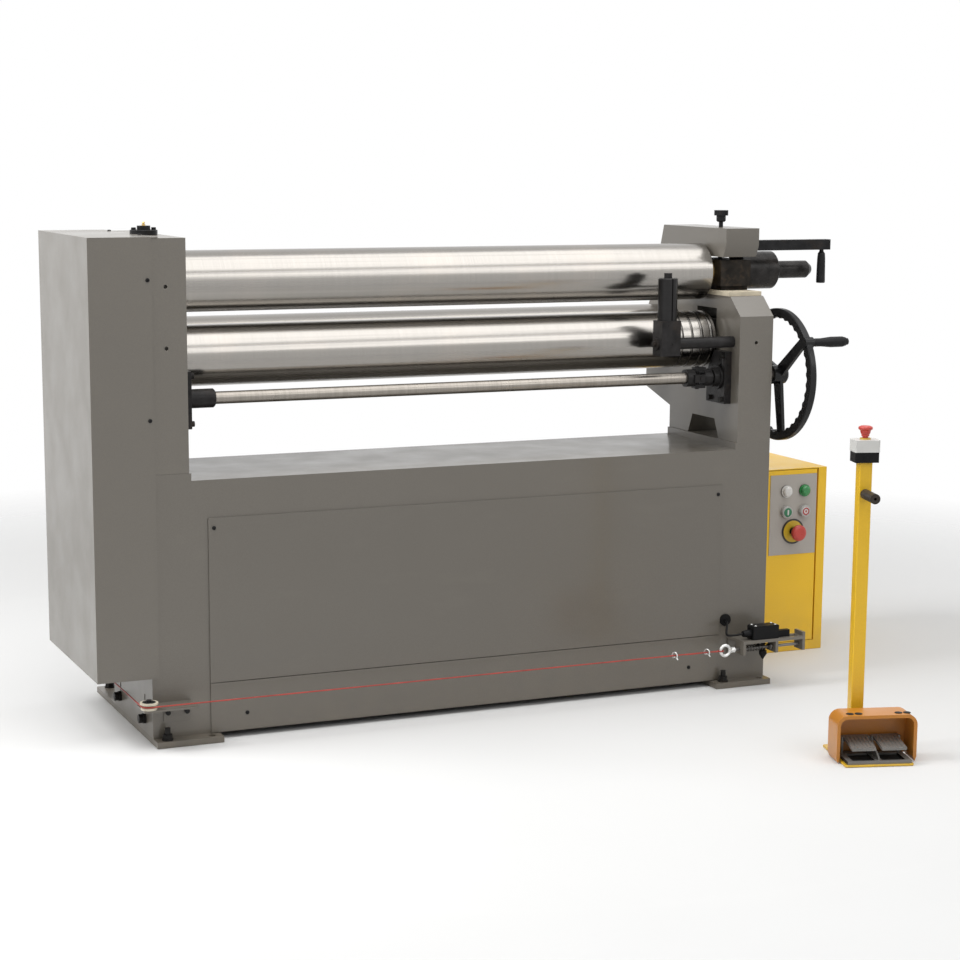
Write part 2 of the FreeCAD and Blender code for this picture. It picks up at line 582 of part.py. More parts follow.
bar_outline = [(0, 0), (0, END_JOURNAL_R), (FREE, END_JOURNAL_R), (FREE, NOSE_R), (CAP_L - CAP_EDGE, NOSE_R),
               (CAP_L, NOSE_R - CAP_EDGE), (CAP_L, LIFT_BAR_R), (BAR_TIP - BAR_TAPER[0], LIFT_BAR_R),
               (BAR_TIP, LIFT_BAR_R - BAR_TAPER[1]), (BAR_TIP, 0)]
save("lifting_bar", turned(bar_outline, X_RIGHT + NOSE_L, UPPER_D, UPPER_Z, X))

# ==== yoke: hinged at the back, its nose over the housing ====
UNDER_Z, YOKE_TOP_Z = UPPER_Z + YOKE_UNDER, UPPER_Z + YOKE_TOP
RELIEF_Z = PIN_Z + EAR_R + 4
YOKE_NOSE = (12.0, 39.0)      # bevel under the nose: depth, and height of the nose above it
YOKE_HEEL = (23.0, 38.0, -34.0, -45.0)    # corners of the heel behind the hinge pin
yoke_outline = [(YOKE_FRONT, YOKE_TOP_Z - YOKE_NOSE[1]), (YOKE_FRONT, YOKE_TOP_Z),
                (PIN_D + YOKE_HEEL[0], YOKE_TOP_Z), (PIN_D + YOKE_HEEL[1], RELIEF_Z),
                (PIN_D + YOKE_HEEL[2], RELIEF_Z), (PIN_D + YOKE_HEEL[3], UNDER_Z),
                (YOKE_FRONT + YOKE_NOSE[0], UNDER_Z)]
yoke = profile(yoke_outline, X_IN_R, X_RIGHT)
TONGUE_X0, TONGUE_X1 = X_IN_R + EAR_T + THIN, X_RIGHT - EAR_T - THIN
TONGUE_R = 24.0
tongue = join(box(TONGUE_X0, TONGUE_X1, PIN_D - TONGUE_R, PIN_D + TONGUE_R, PIN_Z, RELIEF_Z + 1),
              xrod(TONGUE_X0, TONGUE_X1, PIN_D, PIN_Z, TONGUE_R))
yoke = join(yoke, tongue)
yoke = yoke.cut(xrod(TONGUE_X0 - 1, TONGUE_X1 + 1, PIN_D, PIN_Z, PIN_R + RUN))
KNOB_X = (X_IN_R + X_RIGHT) / 2
KNOB_SCREW_R = 5.0
yoke = yoke.cut(rod(KNOB_X, UPPER_D, UNDER_Z - 1, Z, KNOB_SCREW_R + RUN, YOKE_TOP - YOKE_UNDER + 2))
LATCH_Z = UPPER_Z + LATCH_RISE
LATCH_SEAT = 70.0
LATCH_R = LATCH_SIDE / 2 - 1
yoke = yoke.cut(xrod(X_RIGHT - LATCH_SEAT, X_RIGHT + 1, LATCH_D, LATCH_Z, LATCH_R + RUN))
save("yoke", yoke)
save("yoke_pin", xrod(X_IN_R, X_RIGHT, PIN_D, PIN_Z, PIN_R))

# Lobed clamp knob on its screw.
HOUSE_TOP = UPPER_Z + HOUSING_TOP
screw = rod(KNOB_X, UPPER_D, HOUSE_TOP + FREE, Z, KNOB_SCREW_R, YOKE_TOP_Z + 14 - HOUSE_TOP)
HUB_Z, HUB_H, HEAD_H = YOKE_TOP_Z + 12, 15.0, 12.0
hub = turned([(0, 0), (0, 8), (3, 11), (HUB_H, 11), (HUB_H, 0)], KNOB_X, UPPER_D, HUB_Z, Z)
head = rod(KNOB_X, UPPER_D, HUB_Z + HUB_H, Z, KNOB_R - 3, HEAD_H)
LOBES, LOBE_R = 6, 5.0
lobes = []
for i in range(LOBES):
    turn, reach = math.radians(360 / LOBES * i), KNOB_R - LOBE_R
    lobes.append(rod(KNOB_X + reach * math.cos(turn), UPPER_D + reach * math.sin(turn), HUB_Z + HUB_H, Z,
                     LOBE_R, HEAD_H))
save("clamp_knob", join(screw, hub, head, *lobes))

# Latch shaft: round in the yoke, square outside, with its hanging handle.
half = LATCH_SIDE / 2
square = box(X_RIGHT + FREE, X_RIGHT + LATCH_L, LATCH_D - half, LATCH_D + half, LATCH_Z - half,
             LATCH_Z + half)
latch = join(square, xrod(X_RIGHT - LATCH_SEAT + 2, X_RIGHT + FREE, LATCH_D, LATCH_Z, LATCH_R))
HANDLE_IN = 17.0      # handle to the end of the square bar
handle = [(0, 0), (0, 5), (4, 5), (9, 8.5), (22, 9.5), (76, 10.5), (78, 9.5), (78, 0)]
save("latch_lever", latch, turned(handle, X_RIGHT + LATCH_L - HANDLE_IN, LATCH_D, LATCH_Z - half, DOWN))

# ==== top of the left stand: the pivot cap with its grease nipple ====
CAP_IN = 40.0         # cap axis to the stand's inner face
CAP_R, CAP_H, CAP_BOSS_R, CAP_BOSS_H = 29.0, 10.5, 14.0, 19.0
CAP_MID = X_IN_L - CAP_IN
cap = turned([(0, 0), (0, CAP_R), (CAP_H - 1, CAP_R), (CAP_H, CAP_R - 1), (CAP_H, CAP_BOSS_R),
              (CAP_BOSS_H, CAP_BOSS_R), (CAP_BOSS_H, 0)], CAP_MID, UPPER_D, LEFT_TOP, Z)
nipple = turned([(0, 0), (0, 3.8), (3, 3.8), (3, 2.4), (5, 2.4), (6.5, 3.2), (8.5, 1.8), (8.5, 0)],
                CAP_MID, UPPER_D, LEFT_TOP + CAP_BOSS_H, Z)
save("pivot_cap", cap, nipple)

# ==== gear cover: a folded box, open to the stand ====
COVER_X0 = X_LEFT - COVER_OUT
cover = box(COVER_X0, X_LEFT, 0, COVER_DEPTH, COVER_BOTTOM, LEFT_TOP + COVER_SHEET)
cover = cover.cut(box(COVER_X0 + COVER_SHEET, X_LEFT + 1, COVER_SHEET, COVER_DEPTH - COVER_SHEET,
                      COVER_BOTTOM + COVER_SHEET, LEFT_TOP))
front_lap = box(COVER_X0, X_LEFT + COVER_LAP, -COVER_SHEET, 0, COVER_BOTTOM, LEFT_TOP + COVER_SHEET)
top_lap = box(COVER_X0, X_LEFT + COVER_TOP_LAP, -COVER_SHEET, COVER_DEPTH, LEFT_TOP, LEFT_TOP + COVER_SHEET)
rear_lap = box(COVER_X0, X_LEFT + COVER_LAP, COVER_DEPTH - COVER_SHEET, COVER_DEPTH,
               HEEL_Z + HEEL_SLOPE, LEFT_TOP + COVER_SHEET)
cover = join(cover, front_lap, top_lap, rear_lap)
SCREW_LAP, SCREW_FALLS = 6.0, (84.0, 369.0)   # front screws: beside the stand's edge, and below its top
TOP_SCREW_LAP, TOP_SCREW_DS = 21.0, (110.0, 360.0)
COVER_SCREWS = [(X_LEFT + SCREW_LAP, LEFT_TOP - fall) for fall in SCREW_FALLS]
TOP_SCREWS = [(X_LEFT + TOP_SCREW_LAP, screw_d) for screw_d in TOP_SCREW_DS]
for sx, sz in COVER_SCREWS:
    cover = cover.cut(rod(sx, -COVER_SHEET - 1, sz, Y, PANEL_SCREW_R, COVER_SHEET + 2))
for sx, sd in TOP_SCREWS:
    cover = cover.cut(rod(sx, sd, LEFT_TOP - 1, Z, PANEL_SCREW_R, COVER_SHEET + 2))
cover = cover.cut(rod(CAP_MID, UPPER_D, LEFT_TOP, Z, CAP_R + FREE, COVER_SHEET + 1))
save("gear_cover", cover)
DOME = 2.5            # height of the domed screw heads
screw_outline = [(0, 0), (0, 2.5), (1.2, 4.2), (DOME, 4.2), (DOME, PANEL_SCREW_R),
                 (DOME + COVER_SHEET, PANEL_SCREW_R), (DOME + COVER_SHEET, 0)]
screws += [turned(screw_outline, sx, -COVER_SHEET - DOME, sz, Y) for sx, sz in COVER_SCREWS]
screws += [turned(screw_outline, sx, sd, LEFT_TOP + COVER_SHEET + DOME, DOWN) for sx, sd in TOP_SCREWS]


# ==== gears ====
def gear(teeth, x0, d, z, bore, start):
    """A spur gear with straight-flanked teeth; start is the angle of the first tooth from +Y."""
    pitch_r, step = MODULE * teeth / 2, 2 * math.pi / teeth
    tip, root = pitch_r + 0.72 * MODULE, pitch_r - 0.95 * MODULE
    tip_half, root_half = 0.14 * step, 0.33 * step
    points = []
    for i in range(teeth):
        at = start + i * step
        for r, turn in ((root, -root_half), (tip, -tip_half), (tip, tip_half), (root, root_half)):
            points.append((d + r * math.cos(at + turn), z + r * math.sin(at + turn)))
    wheel = profile(points, x0, x0 + GEAR_FACE)
    return wheel.cut(xrod(x0 - 1, x0 + GEAR_FACE + 1, d, z, bore))


def towards(d0, z0, d1, z1):
    return math.atan2(z1 - z0, d1 - d0)


down = towards(UPPER_D, UPPER_Z, IDLER_D, IDLER_Z)
lower = towards(IDLER_D, IDLER_Z, PINION_D, PINION_Z)
idler_step = 2 * math.pi / TEETH_IDLER
# The idler has a gap where the roll gear has a tooth; the pinion then takes up the phase that is left.
idler_start = down + math.pi + idler_step / 2
phase = ((lower - idler_start) / idler_step) % 1.0
pinion_start = lower + math.pi + (phase + 0.5) * 2 * math.pi / TEETH_PINION
save("top_roll_gear", gear(TEETH_ROLL, GEAR_X0, UPPER_D, UPPER_Z, JOURNAL_R, down))
idler = gear(TEETH_IDLER, GEAR_X0, IDLER_D, IDLER_Z, STUD_R + RUN, idler_start)
HOLES, HOLE_R, HOLE_OUT = 6, 34.0, 100.0
for i in range(HOLES):
    turn = math.radians(360 / HOLES * i)
    idler = idler.cut(xrod(GEAR_X0 - 1, GEAR_X1 + 1, IDLER_D + HOLE_OUT * math.cos(turn),
                           IDLER_Z + HOLE_OUT * math.sin(turn), HOLE_R))
save("idler_gear", idler)
save("drive_pinion", join(gear(TEETH_PINION, GEAR_X0, PINION_D, PINION_Z, 5, pinion_start),
                          xrod(GEAR_X0 - 6, X_LEFT + SHAFT_IN, PINION_D, PINION_Z, SHAFT_OUT_R)))
COLLAR_T, COLLAR_RIM = 16.0, 12.0     # collars that keep the idler gear on its stud
stud = join(xrod(GEAR_X0 - COLLAR_T, X_LEFT + STUD_SEAT, IDLER_D, IDLER_Z, STUD_R),
            xrod(GEAR_X0 - COLLAR_T, GEAR_X0 - FREE, IDLER_D, IDLER_Z, STUD_R + COLLAR_RIM),
            xrod(GEAR_X1 + FREE, X_LEFT, IDLER_D, IDLER_Z, STUD_R + COLLAR_RIM))
save("idler_stud", stud)

# ==== gear motor inside the base ====
WALL_IN = X_LEFT + WALL
FLANGE_X = WALL_IN + REDUCER_FLANGE_T
MOTOR_X0 = WALL_IN + REDUCER_L
reducer = join(xrod(WALL_IN, FLANGE_X, PINION_D, PINION_Z, REDUCER_FLANGE_R),
               xrod(X_LEFT, WALL_IN, PINION_D, PINION_Z, REDUCER_PILOT),
               xrod(FLANGE_X, MOTOR_X0, PINION_D, PINION_Z, REDUCER_R),
               box(FLANGE_X + 6, MOTOR_X0 - 10, PINION_D - GEARCASE_W / 2, PINION_D + GEARCASE_W / 2,
                   PINION_Z - GEARCASE_DROP, PINION_Z))
reducer = reducer.cut(xrod(X_LEFT - 1, X_LEFT + SHAFT_IN + 2, PINION_D, PINION_Z, SHAFT_OUT_R + RUN))
save("reducer", reducer)
MOTOR_X1 = MOTOR_X0 + MOTOR_L
fins = []
for i in range(FINS):
    fin = box(MOTOR_X0 + MOTOR_FACE, MOTOR_X1 - COWL_L, PINION_D - FIN_T / 2, PINION_D + FIN_T / 2,
              PINION_Z + MOTOR_R - FIN_T, PINION_Z + MOTOR_R + FIN_RISE)
    fin.rotate(V(0, Y0 + PINION_D, PINION_Z), X, 360 / FINS * i)
    fins.append(fin)
COWL_R = MOTOR_R + FIN_RISE + 1
TERMINAL_L, TERMINAL_OUT, TERMINAL_H = TERMINAL_BOX
TERMINAL_X = MOTOR_X0 + TERMINAL_AT
motor_front = PINION_D - MOTOR_R
terminals = box(TERMINAL_X, TERMINAL_X + TERMINAL_L, motor_front - TERMINAL_OUT, motor_front + 6,
                PINION_Z - TERMINAL_H / 2, PINION_Z + TERMINAL_H / 2)
motor = join(xrod(MOTOR_X0, MOTOR_X0 + MOTOR_FACE, PINION_D, PINION_Z, MOTOR_R + 7),
             xrod(MOTOR_X0, MOTOR_X1, PINION_D, PINION_Z, MOTOR_R),
             turned([(0, 0), (0, COWL_R), (COWL_L - 14, COWL_R), (COWL_L, MOTOR_R - 8), (COWL_L, 0)],
                    MOTOR_X1 - COWL_L, PINION_D, PINION_Z, X),
             terminals, *fins)
save("drive_motor", motor)

# ==== adjusting shaft of the front roll ====
PLATE_Z0, PLATE_Z1 = SHAFT_Z - PLATE_H / 2, SHAFT_Z + PLATE_H / 2
PLATE_BACK = PLATE_FRONT + PLATE_W
SLANT = (32.0, 50.0)          # corner cut off the top rear of a plate: depth and height
PLATE_EDGE = 10.0             # bolts to the plate's edges
PLATE_BOLT_R, PLATE_BOLT_T = 6.0, 7.0
FLANGE_L, FLANGE_R = 18.0, 22.0
plates = []
for face, side in ((X_IN_L, 1), (X_IN_R, -1)):
    a, b = sorted((face, face + side * PLATE_T))
    plate = profile([(PLATE_FRONT, PLATE_Z0), (PLATE_BACK, PLATE_Z0), (PLATE_BACK, PLATE_Z1 - SLANT[1]),
                     (PLATE_BACK - SLANT[0], PLATE_Z1), (PLATE_FRONT, PLATE_Z1)], a, b)
    plates.append(plate.cut(xrod(a - 1, b + 1, SHAFT_D, SHAFT_Z, SHAFT_R + RUN)))
flange_x0 = X_IN_R - PLATE_T - FLANGE_L
flange = join(xrod(flange_x0, flange_x0 + FLANGE_L, SHAFT_D, SHAFT_Z, FLANGE_R),
              xrod(flange_x0 + FLANGE_L - 5, flange_x0 + FLANGE_L, SHAFT_D, SHAFT_Z, FLANGE_R + 6))
flange = flange.cut(xrod(flange_x0 - 1, flange_x0 + FLANGE_L + 1, SHAFT_D, SHAFT_Z, SHAFT_R + RUN))
save("shaft_bearings", *plates, flange)
for face, side in ((X_IN_L + PLATE_T, X), (X_IN_R - PLATE_T, BACK_X)):
    low_z, high_z = PLATE_Z0 + PLATE_EDGE, PLATE_Z1 - PLATE_EDGE
    front_d, rear_d = PLATE_FRONT + PLATE_EDGE, PLATE_BACK - 2 * PLATE_EDGE
    for bd, bz in ((front_d, low_z), (rear_d, low_z), (front_d, high_z)):
        frame_bolts.append(rod(face, bd, bz, side, PLATE_BOLT_R, PLATE_BOLT_T))

JOINT_X1 = X_IN_R - JOINT_IN
JOINT_X0 = JOINT_X1 - JOINT_L
JOINT_MID = (JOINT_X0 + JOINT_X1) / 2
WHEEL_X = X_RIGHT + WHEEL_OUT
SHAFT_PAST = 14.0     # stub shaft past the rim's plane
long_shaft = xrod(X_IN_L - SHAFT_BLIND, JOINT_X0 + 12, SHAFT_D, SHAFT_Z, SHAFT_R)
stub_shaft = xrod(JOINT_X1 - 12, WHEEL_X + SHAFT_PAST, SHAFT_D, SHAFT_Z, SHAFT_R)
collar = turned([(0, SHAFT_R), (0, 20), (54, 20), (57, 17), (57, SHAFT_R)],
                X_IN_L + PLATE_T + FREE, SHAFT_D, SHAFT_Z, X)
save("adjusting_shaft", long_shaft, stub_shaft, collar)


CROSS_R, CROSS_L, CROSS_HALF = 5.0, 52.0, 8.0


def fork(x_end, side, across):
    """A universal joint fork: a hub on the shaft and two arms that straddle the cross."""
    hub_l, arm_half, arm_in, arm_out = 20.0, 9.0, 15.0, 24.0
    a, b = sorted((x_end, x_end + side * hub_l))
    hub = xrod(a, b, SHAFT_D, SHAFT_Z, 20)
    bore = xrod(a - 1, a + 12 if side > 0 else b + 1, SHAFT_D, SHAFT_Z, SHAFT_R)
    if side < 0:
        bore = xrod(b - 12, b + 1, SHAFT_D, SHAFT_Z, SHAFT_R)
    arms = []
    for s in (-1, 1):
        lo, hi = sorted((s * arm_in, s * arm_out))
        tip = JOINT_MID + side * 9
        x0, x1 = sorted((x_end + side * (hub_l - 6), tip))
        web_x0, web_x1 = sorted((x_end + side * (hub_l - 6), x_end + side * hub_l))
        web_lo, web_hi = sorted((0.0, s * arm_out))
        z0, z1 = SHAFT_Z - arm_half, SHAFT_Z + arm_half
        if across:
            arm = box(x0, x1, SHAFT_D + lo, SHAFT_D + hi, z0, z1)
            web = box(web_x0, web_x1, SHAFT_D + web_lo, SHAFT_D + web_hi, z0, z1)
            hole = rod(JOINT_MID, SHAFT_D - CROSS_L, SHAFT_Z, Y, CROSS_R, 2 * CROSS_L)
        else:
            d0, d1 = SHAFT_D - arm_half, SHAFT_D + arm_half
            arm = box(x0, x1, d0, d1, SHAFT_Z + lo, SHAFT_Z + hi)
            web = box(web_x0, web_x1, d0, d1, SHAFT_Z + web_lo, SHAFT_Z + web_hi)
            hole = rod(JOINT_MID, SHAFT_D, SHAFT_Z - CROSS_L, Z, CROSS_R, 2 * CROSS_L)
        arms += [arm, web]
    return join(hub, *arms).cut(bore).cut(hole)


cross = join(rod(JOINT_MID, SHAFT_D - CROSS_L / 2, SHAFT_Z, Y, CROSS_R, CROSS_L),
             rod(JOINT_MID, SHAFT_D, SHAFT_Z - CROSS_L / 2, Z, CROSS_R, CROSS_L),
             box(JOINT_MID - CROSS_HALF, JOINT_MID + CROSS_HALF, SHAFT_D - CROSS_HALF, SHAFT_D + CROSS_HALF,
                 SHAFT_Z - CROSS_HALF, SHAFT_Z + CROSS_HALF))
save("universal_joint", fork(JOINT_X0, 1, True), fork(JOINT_X1, -1, False), cross)

# ==== handwheel on the stub shaft ====
HUB_R, HUB_L, HUB_BACK = 22.0, 38.0, 20.0
wheel_hub = turned([(0, 0), (0, HUB_R), (HUB_L - 4, HUB_R), (HUB_L, HUB_R - 4), (HUB_L, 0)],
                   WHEEL_X - HUB_BACK, SHAFT_D, SHAFT_Z, X)
rim_x = RIM_W / 2
rim = turned([(-rim_x, WHEEL_R - RIM_IN), (-rim_x, WHEEL_R + RIM_OUT - 2), (2 - rim_x, WHEEL_R + RIM_OUT),
              (rim_x - 2, WHEEL_R + RIM_OUT), (rim_x, WHEEL_R + RIM_OUT - 2), (rim_x, WHEEL_R - RIM_IN)],
             WHEEL_X, SHAFT_D, SHAFT_Z, X)
scallops = []
for i in range(SCALLOPS):
    turn = 2 * math.pi / SCALLOPS * i
    reach = WHEEL_R - RIM_IN + SCALLOP_DEEP - SCALLOP_R
    scallops.append(xrod(WHEEL_X - rim_x - 1, WHEEL_X + rim_x + 1, SHAFT_D + reach * math.cos(turn),
                         SHAFT_Z + reach * math.sin(turn), SCALLOP_R))
rim = rim.cut(scallops)
spokes = []
for angle in SPOKE_ANGLES:
    turn = math.radians(angle)
    out = V(0, math.cos(turn), math.sin(turn))
    sections = []
    for width, r in ((SPOKE_W[0], HUB_R - 6), (SPOKE_W[1], WHEEL_R - RIM_IN / 2)):
        w, t = width / 2, SPOKE_T / 2
        sections.append(Part.makePolygon([V(-t, -w, r), V(t, -w, r), V(t, w, r), V(-t, w, r), V(-t, -w, r)]))
    spoke = Part.makeLoft(sections, True, True)
    spoke.Placement = FreeCAD.Placement(V(WHEEL_X, Y0 + SHAFT_D, SHAFT_Z), FreeCAD.Rotation(V(0, 0, 1), out))
    spokes.append(spoke)
wheel = join(rim, wheel_hub, *spokes)
GRIP_D = SHAFT_D + WHEEL_R * math.cos(math.radians(GRIP_ANGLE))
GRIP_Z = SHAFT_Z + WHEEL_R * math.sin(math.radians(GRIP_ANGLE))
BOSS_OUT, GRIP_L = 13.0, 88.0
boss = xrod(WHEEL_X - 10, WHEEL_X + BOSS_OUT, GRIP_D, GRIP_Z, BOSS_OUT)
wheel = join(wheel, boss)
wheel = wheel.cut(xrod(WHEEL_X - HUB_BACK - 1, WHEEL_X + SHAFT_PAST, SHAFT_D, SHAFT_Z, SHAFT_R))
GRIP_BOLT_R = 5.0
wheel = wheel.cut(xrod(WHEEL_X - 11, WHEEL_X + 14, GRIP_D, GRIP_Z, GRIP_BOLT_R))
GRIP_X = WHEEL_X + BOSS_OUT + 1
BOLT_HEAD_X = GRIP_X + GRIP_L + 2
grip_bolt = join(xrod(WHEEL_X - 10, BOLT_HEAD_X, GRIP_D, GRIP_Z, GRIP_BOLT_R),
                 xrod(BOLT_HEAD_X, BOLT_HEAD_X + 4, GRIP_D, GRIP_Z, 8))
save("handwheel", wheel, grip_bolt)
grip = turned([(0, GRIP_BOLT_R + RUN), (0, 8), (8, 9.5), (22, 9.5), (50, 12.2), (80, 12), (GRIP_L, 10),
               (GRIP_L, GRIP_BOLT_R + RUN)], GRIP_X, GRIP_D, GRIP_Z, X)
save("wheel_grip", grip)

# ==== cone rolling attachment: bar, clamp block and upright roller ====
CONE_X0 = X_IN_R - CONE_BLOCK_LEFT
CONE_X1 = CONE_X0 + CONE_BLOCK[0]
CONE_MID = (CONE_X0 + CONE_X1) / 2
CONE_LOW = CONE_Z - CONE_BAR_R * 2
CONE_TOP = CONE_LOW + CONE_BLOCK[2]
BAR_END = 6.0         # bar past the block, and the head of its end screw
cone_bar = join(xrod(CONE_X0 - BAR_END, X_IN_R + CONE_SEAT, CONE_D, CONE_Z, CONE_BAR_R),
                xrod(CONE_X0 - 2 * BAR_END, CONE_X0 - BAR_END, CONE_D, CONE_Z, CONE_BAR_R / 2))
save("cone_bar", cone_bar)
cone_block = box(CONE_X0, CONE_X1, CONE_D - CONE_BLOCK[1] / 2, CONE_D + CONE_BLOCK[1] / 2, CONE_LOW, CONE_TOP)
cone_block = cone_block.cut(xrod(CONE_X0 - 1, CONE_X1 + 1, CONE_D, CONE_Z, CONE_BAR_R + RUN))
SET_SCREW_R = 4.0
cone_block = cone_block.cut(rod(CONE_MID, CONE_D - CONE_BLOCK[1], CONE_Z, Y, SET_SCREW_R, CONE_BLOCK[1]))
CONE_PIN_R, PIN_SEAT, PIN_HEAD = 7.0, 30.0, 11.0
cone_block = cone_block.cut(rod(CONE_MID, CONE_D, CONE_TOP - PIN_SEAT, Z, CONE_PIN_R, PIN_SEAT + 1))
set_screw = rod(CONE_MID, CONE_D - CONE_BLOCK[1] / 2 + 1, CONE_Z, Y, SET_SCREW_R,
                CONE_BLOCK[1] / 2 - 1 - CONE_BAR_R - FREE)
CONE_HEAD = CONE_TOP + FREE + CONE_ROLLER_H + FREE
roller_pin = join(rod(CONE_MID, CONE_D, CONE_TOP - PIN_SEAT, Z, CONE_PIN_R, CONE_HEAD - CONE_TOP + PIN_SEAT),
                  rod(CONE_MID, CONE_D, CONE_HEAD, Z, CONE_PIN_R + 2, PIN_HEAD))
save("cone_block", cone_block, set_screw, roller_pin)
roller = turned([(0, CONE_PIN_R + RUN), (0, CONE_ROLLER_R), (CONE_ROLLER_H - 2, CONE_ROLLER_R),
                 (CONE_ROLLER_H, CONE_ROLLER_R - 2), (CONE_ROLLER_H, CONE_PIN_R + RUN)],
                CONE_MID, CONE_D, CONE_TOP + FREE, Z)
KEYWAY_W, KEYWAY_DEEP = 3.0, 2.5
roller_front = CONE_D - CONE_ROLLER_R
roller = roller.cut(box(CONE_MID - KEYWAY_W / 2, CONE_MID + KEYWAY_W / 2, roller_front - 1,
                        roller_front + KEYWAY_DEEP, CONE_TOP, CONE_TOP + CONE_ROLLER_H + 2))
save("cone_roller", roller)

# ==== trip wire along the front ====
# Pulley bracket: an angle whose shelf carries the corner pulley.
GROOVE_DEEP = 4.0
GROOVE_FLOOR = PULLEY_R - GROOVE_DEEP
WIRE_BEND = GROOVE_FLOOR + WIRE_R
PULLEY_X, PULLEY_D = X_LEFT - PULLEY_OUT, WIRE_BEND - WIRE_OUT
PULLEY_PIN_R, PULLEY_H, PULLEY_HEAD = 4.0, 15.0, 4.0
SHELF_T, SHELF_UNDER = 4.0, 8.0       # bracket sheet, and its shelf below the wire
SHELF_Z = WIRE_Z - SHELF_UNDER
TAB_IN, TAB_W, TAB_DROP = 23.0, 57.0, 44.0
tab_x0, tab_x1 = X_LEFT + TAB_IN, X_LEFT + TAB_IN + TAB_W
shelf = box(PULLEY_X - 14, tab_x1 + 2, -60, 0, SHELF_Z - SHELF_T, SHELF_Z)
tab = box(tab_x0, tab_x1, -SHELF_T, 0, SHELF_Z - TAB_DROP, SHELF_Z)


def along_y(e):
    return abs(e.tangentAt(e.FirstParameter).y) > 0.9


tab = round_edges(tab, 6, lambda e: along_y(e) and e.CenterOfMass.z < SHELF_Z - TAB_DROP + 4)
bracket = join(shelf, tab)
bracket = bracket.cut(rod(PULLEY_X, PULLEY_D, SHELF_Z - SHELF_T - 1, Z, PULLEY_PIN_R, SHELF_T + 2))
TAB_SCREW_R, TAB_HEAD_R, TAB_HEAD_H = 3.0, 5.2, 5.0
tab_screw_z = SHELF_Z - TAB_DROP / 2
for sx in (tab_x0 + 8, tab_x1 - 8):
    bracket = bracket.cut(rod(sx, -SHELF_T - 1, tab_screw_z, Y, TAB_SCREW_R, SHELF_T + 2))
    screws.append(join(rod(sx, -SHELF_T - TAB_HEAD_H, tab_screw_z, Y, TAB_HEAD_R, TAB_HEAD_H),
                       rod(sx, -SHELF_T, tab_screw_z, Y, TAB_SCREW_R, SHELF_T)))
PIN_UP = FREE + PULLEY_H + 1
pulley_pin = join(rod(PULLEY_X, PULLEY_D, SHELF_Z - SHELF_T, Z, PULLEY_PIN_R, SHELF_T + PIN_UP),
                  rod(PULLEY_X, PULLEY_D, SHELF_Z + PIN_UP, Z, PULLEY_PIN_R + 2, PULLEY_HEAD))
save("pulley_bracket", bracket, pulley_pin)
floor_r = GROOVE_FLOOR - FREE
bore_r = PULLEY_PIN_R + RUN
flanges = [(0, bore_r), (0, PULLEY_R - 2), (4.5, PULLEY_R - 2), (5.8, floor_r), (9.6, floor_r),
           (11, PULLEY_R), (PULLEY_H, PULLEY_R), (PULLEY_H, bore_r)]
save("corner_pulley", turned(flanges, PULLEY_X, PULLEY_D, SHELF_Z + FREE, Z))

# Trip bracket, spring rod with its eye, switch and lead.
TRIP_X0 = X_IN_R - BRACKET_IN
TRIP_X1 = TRIP_X0 + BRACKET_L
TRIP_D0, TRIP_D1 = -WIRE_OUT - BRACKET_HALF, -WIRE_OUT + BRACKET_HALF
ROD_R = 3.5
TRIP_RISE, TRIP_DROP, END_RISE = 21.0, 12.0, 10.0     # bracket about the rod's axis, and its raised end
TRIP_TOP, TRIP_LOW = WIRE_Z + TRIP_RISE, WIRE_Z - TRIP_DROP
MID_WALL = 86.0       # middle wall from the bracket's left end
MID_X = TRIP_X0 + MID_WALL
EDGE_IN, FOOT_PLATE_T = 4.0, 6.0
arm = box(TRIP_X0, TRIP_X1, TRIP_D0, TRIP_D1, TRIP_TOP - TRIP_T, TRIP_TOP)
root_plate = box(TRIP_X0, X_RIGHT - EDGE_IN, TRIP_D1, 0, TRIP_TOP - TRIP_T, TRIP_TOP)
foot_plate = box(TRIP_X0 + EDGE_IN, X_RIGHT - EDGE_IN, -FOOT_PLATE_T, 0, TRIP_LOW - 14, TRIP_TOP)
trip = join(arm, root_plate, foot_plate)
for wall_x in (TRIP_X0, MID_X, TRIP_X1 - TRIP_T):
    trip = join(trip, box(wall_x, wall_x + TRIP_T, TRIP_D0, TRIP_D1, TRIP_LOW, TRIP_TOP - 1))
trip = join(trip, box(TRIP_X1 - TRIP_T, TRIP_X1, TRIP_D0, TRIP_D1, TRIP_TOP - 1, TRIP_TOP + END_RISE))
trip = trip.cut(box(MID_X + TRIP_T + 8, TRIP_X1 - TRIP_T - 6, TRIP_D0 + 9, TRIP_D1 - 9,
                    TRIP_TOP - TRIP_T - 1, TRIP_TOP + 1))
trip = trip.cut(xrod(TRIP_X0 - 1, TRIP_X1 + 1, -WIRE_OUT, WIRE_Z, ROD_R + RUN))
TRIP_BOLT_R, TRIP_HEAD_R, TRIP_HEAD_H = 4.0, 6.5, 8.0
for bx in (X_IN_R + 12, X_RIGHT - 18):
    trip = trip.cut(rod(bx, -FOOT_PLATE_T - 1, TRIP_LOW, Y, TRIP_BOLT_R, FOOT_PLATE_T + 2))
    frame_bolts.append(join(rod(bx, -FOOT_PLATE_T - TRIP_HEAD_H, TRIP_LOW, Y, TRIP_HEAD_R, TRIP_HEAD_H),
                            rod(bx, -FOOT_PLATE_T, TRIP_LOW, Y, TRIP_BOLT_R, FOOT_PLATE_T)))
save("trip_bracket", trip)
EYE_X = X_IN_R - EYE_IN
EYE_R, EYE_BAR = 12.0, 3.6
eye = Part.makeTorus(EYE_R, EYE_BAR, V(EYE_X, Y0 - WIRE_OUT, WIRE_Z), Y)
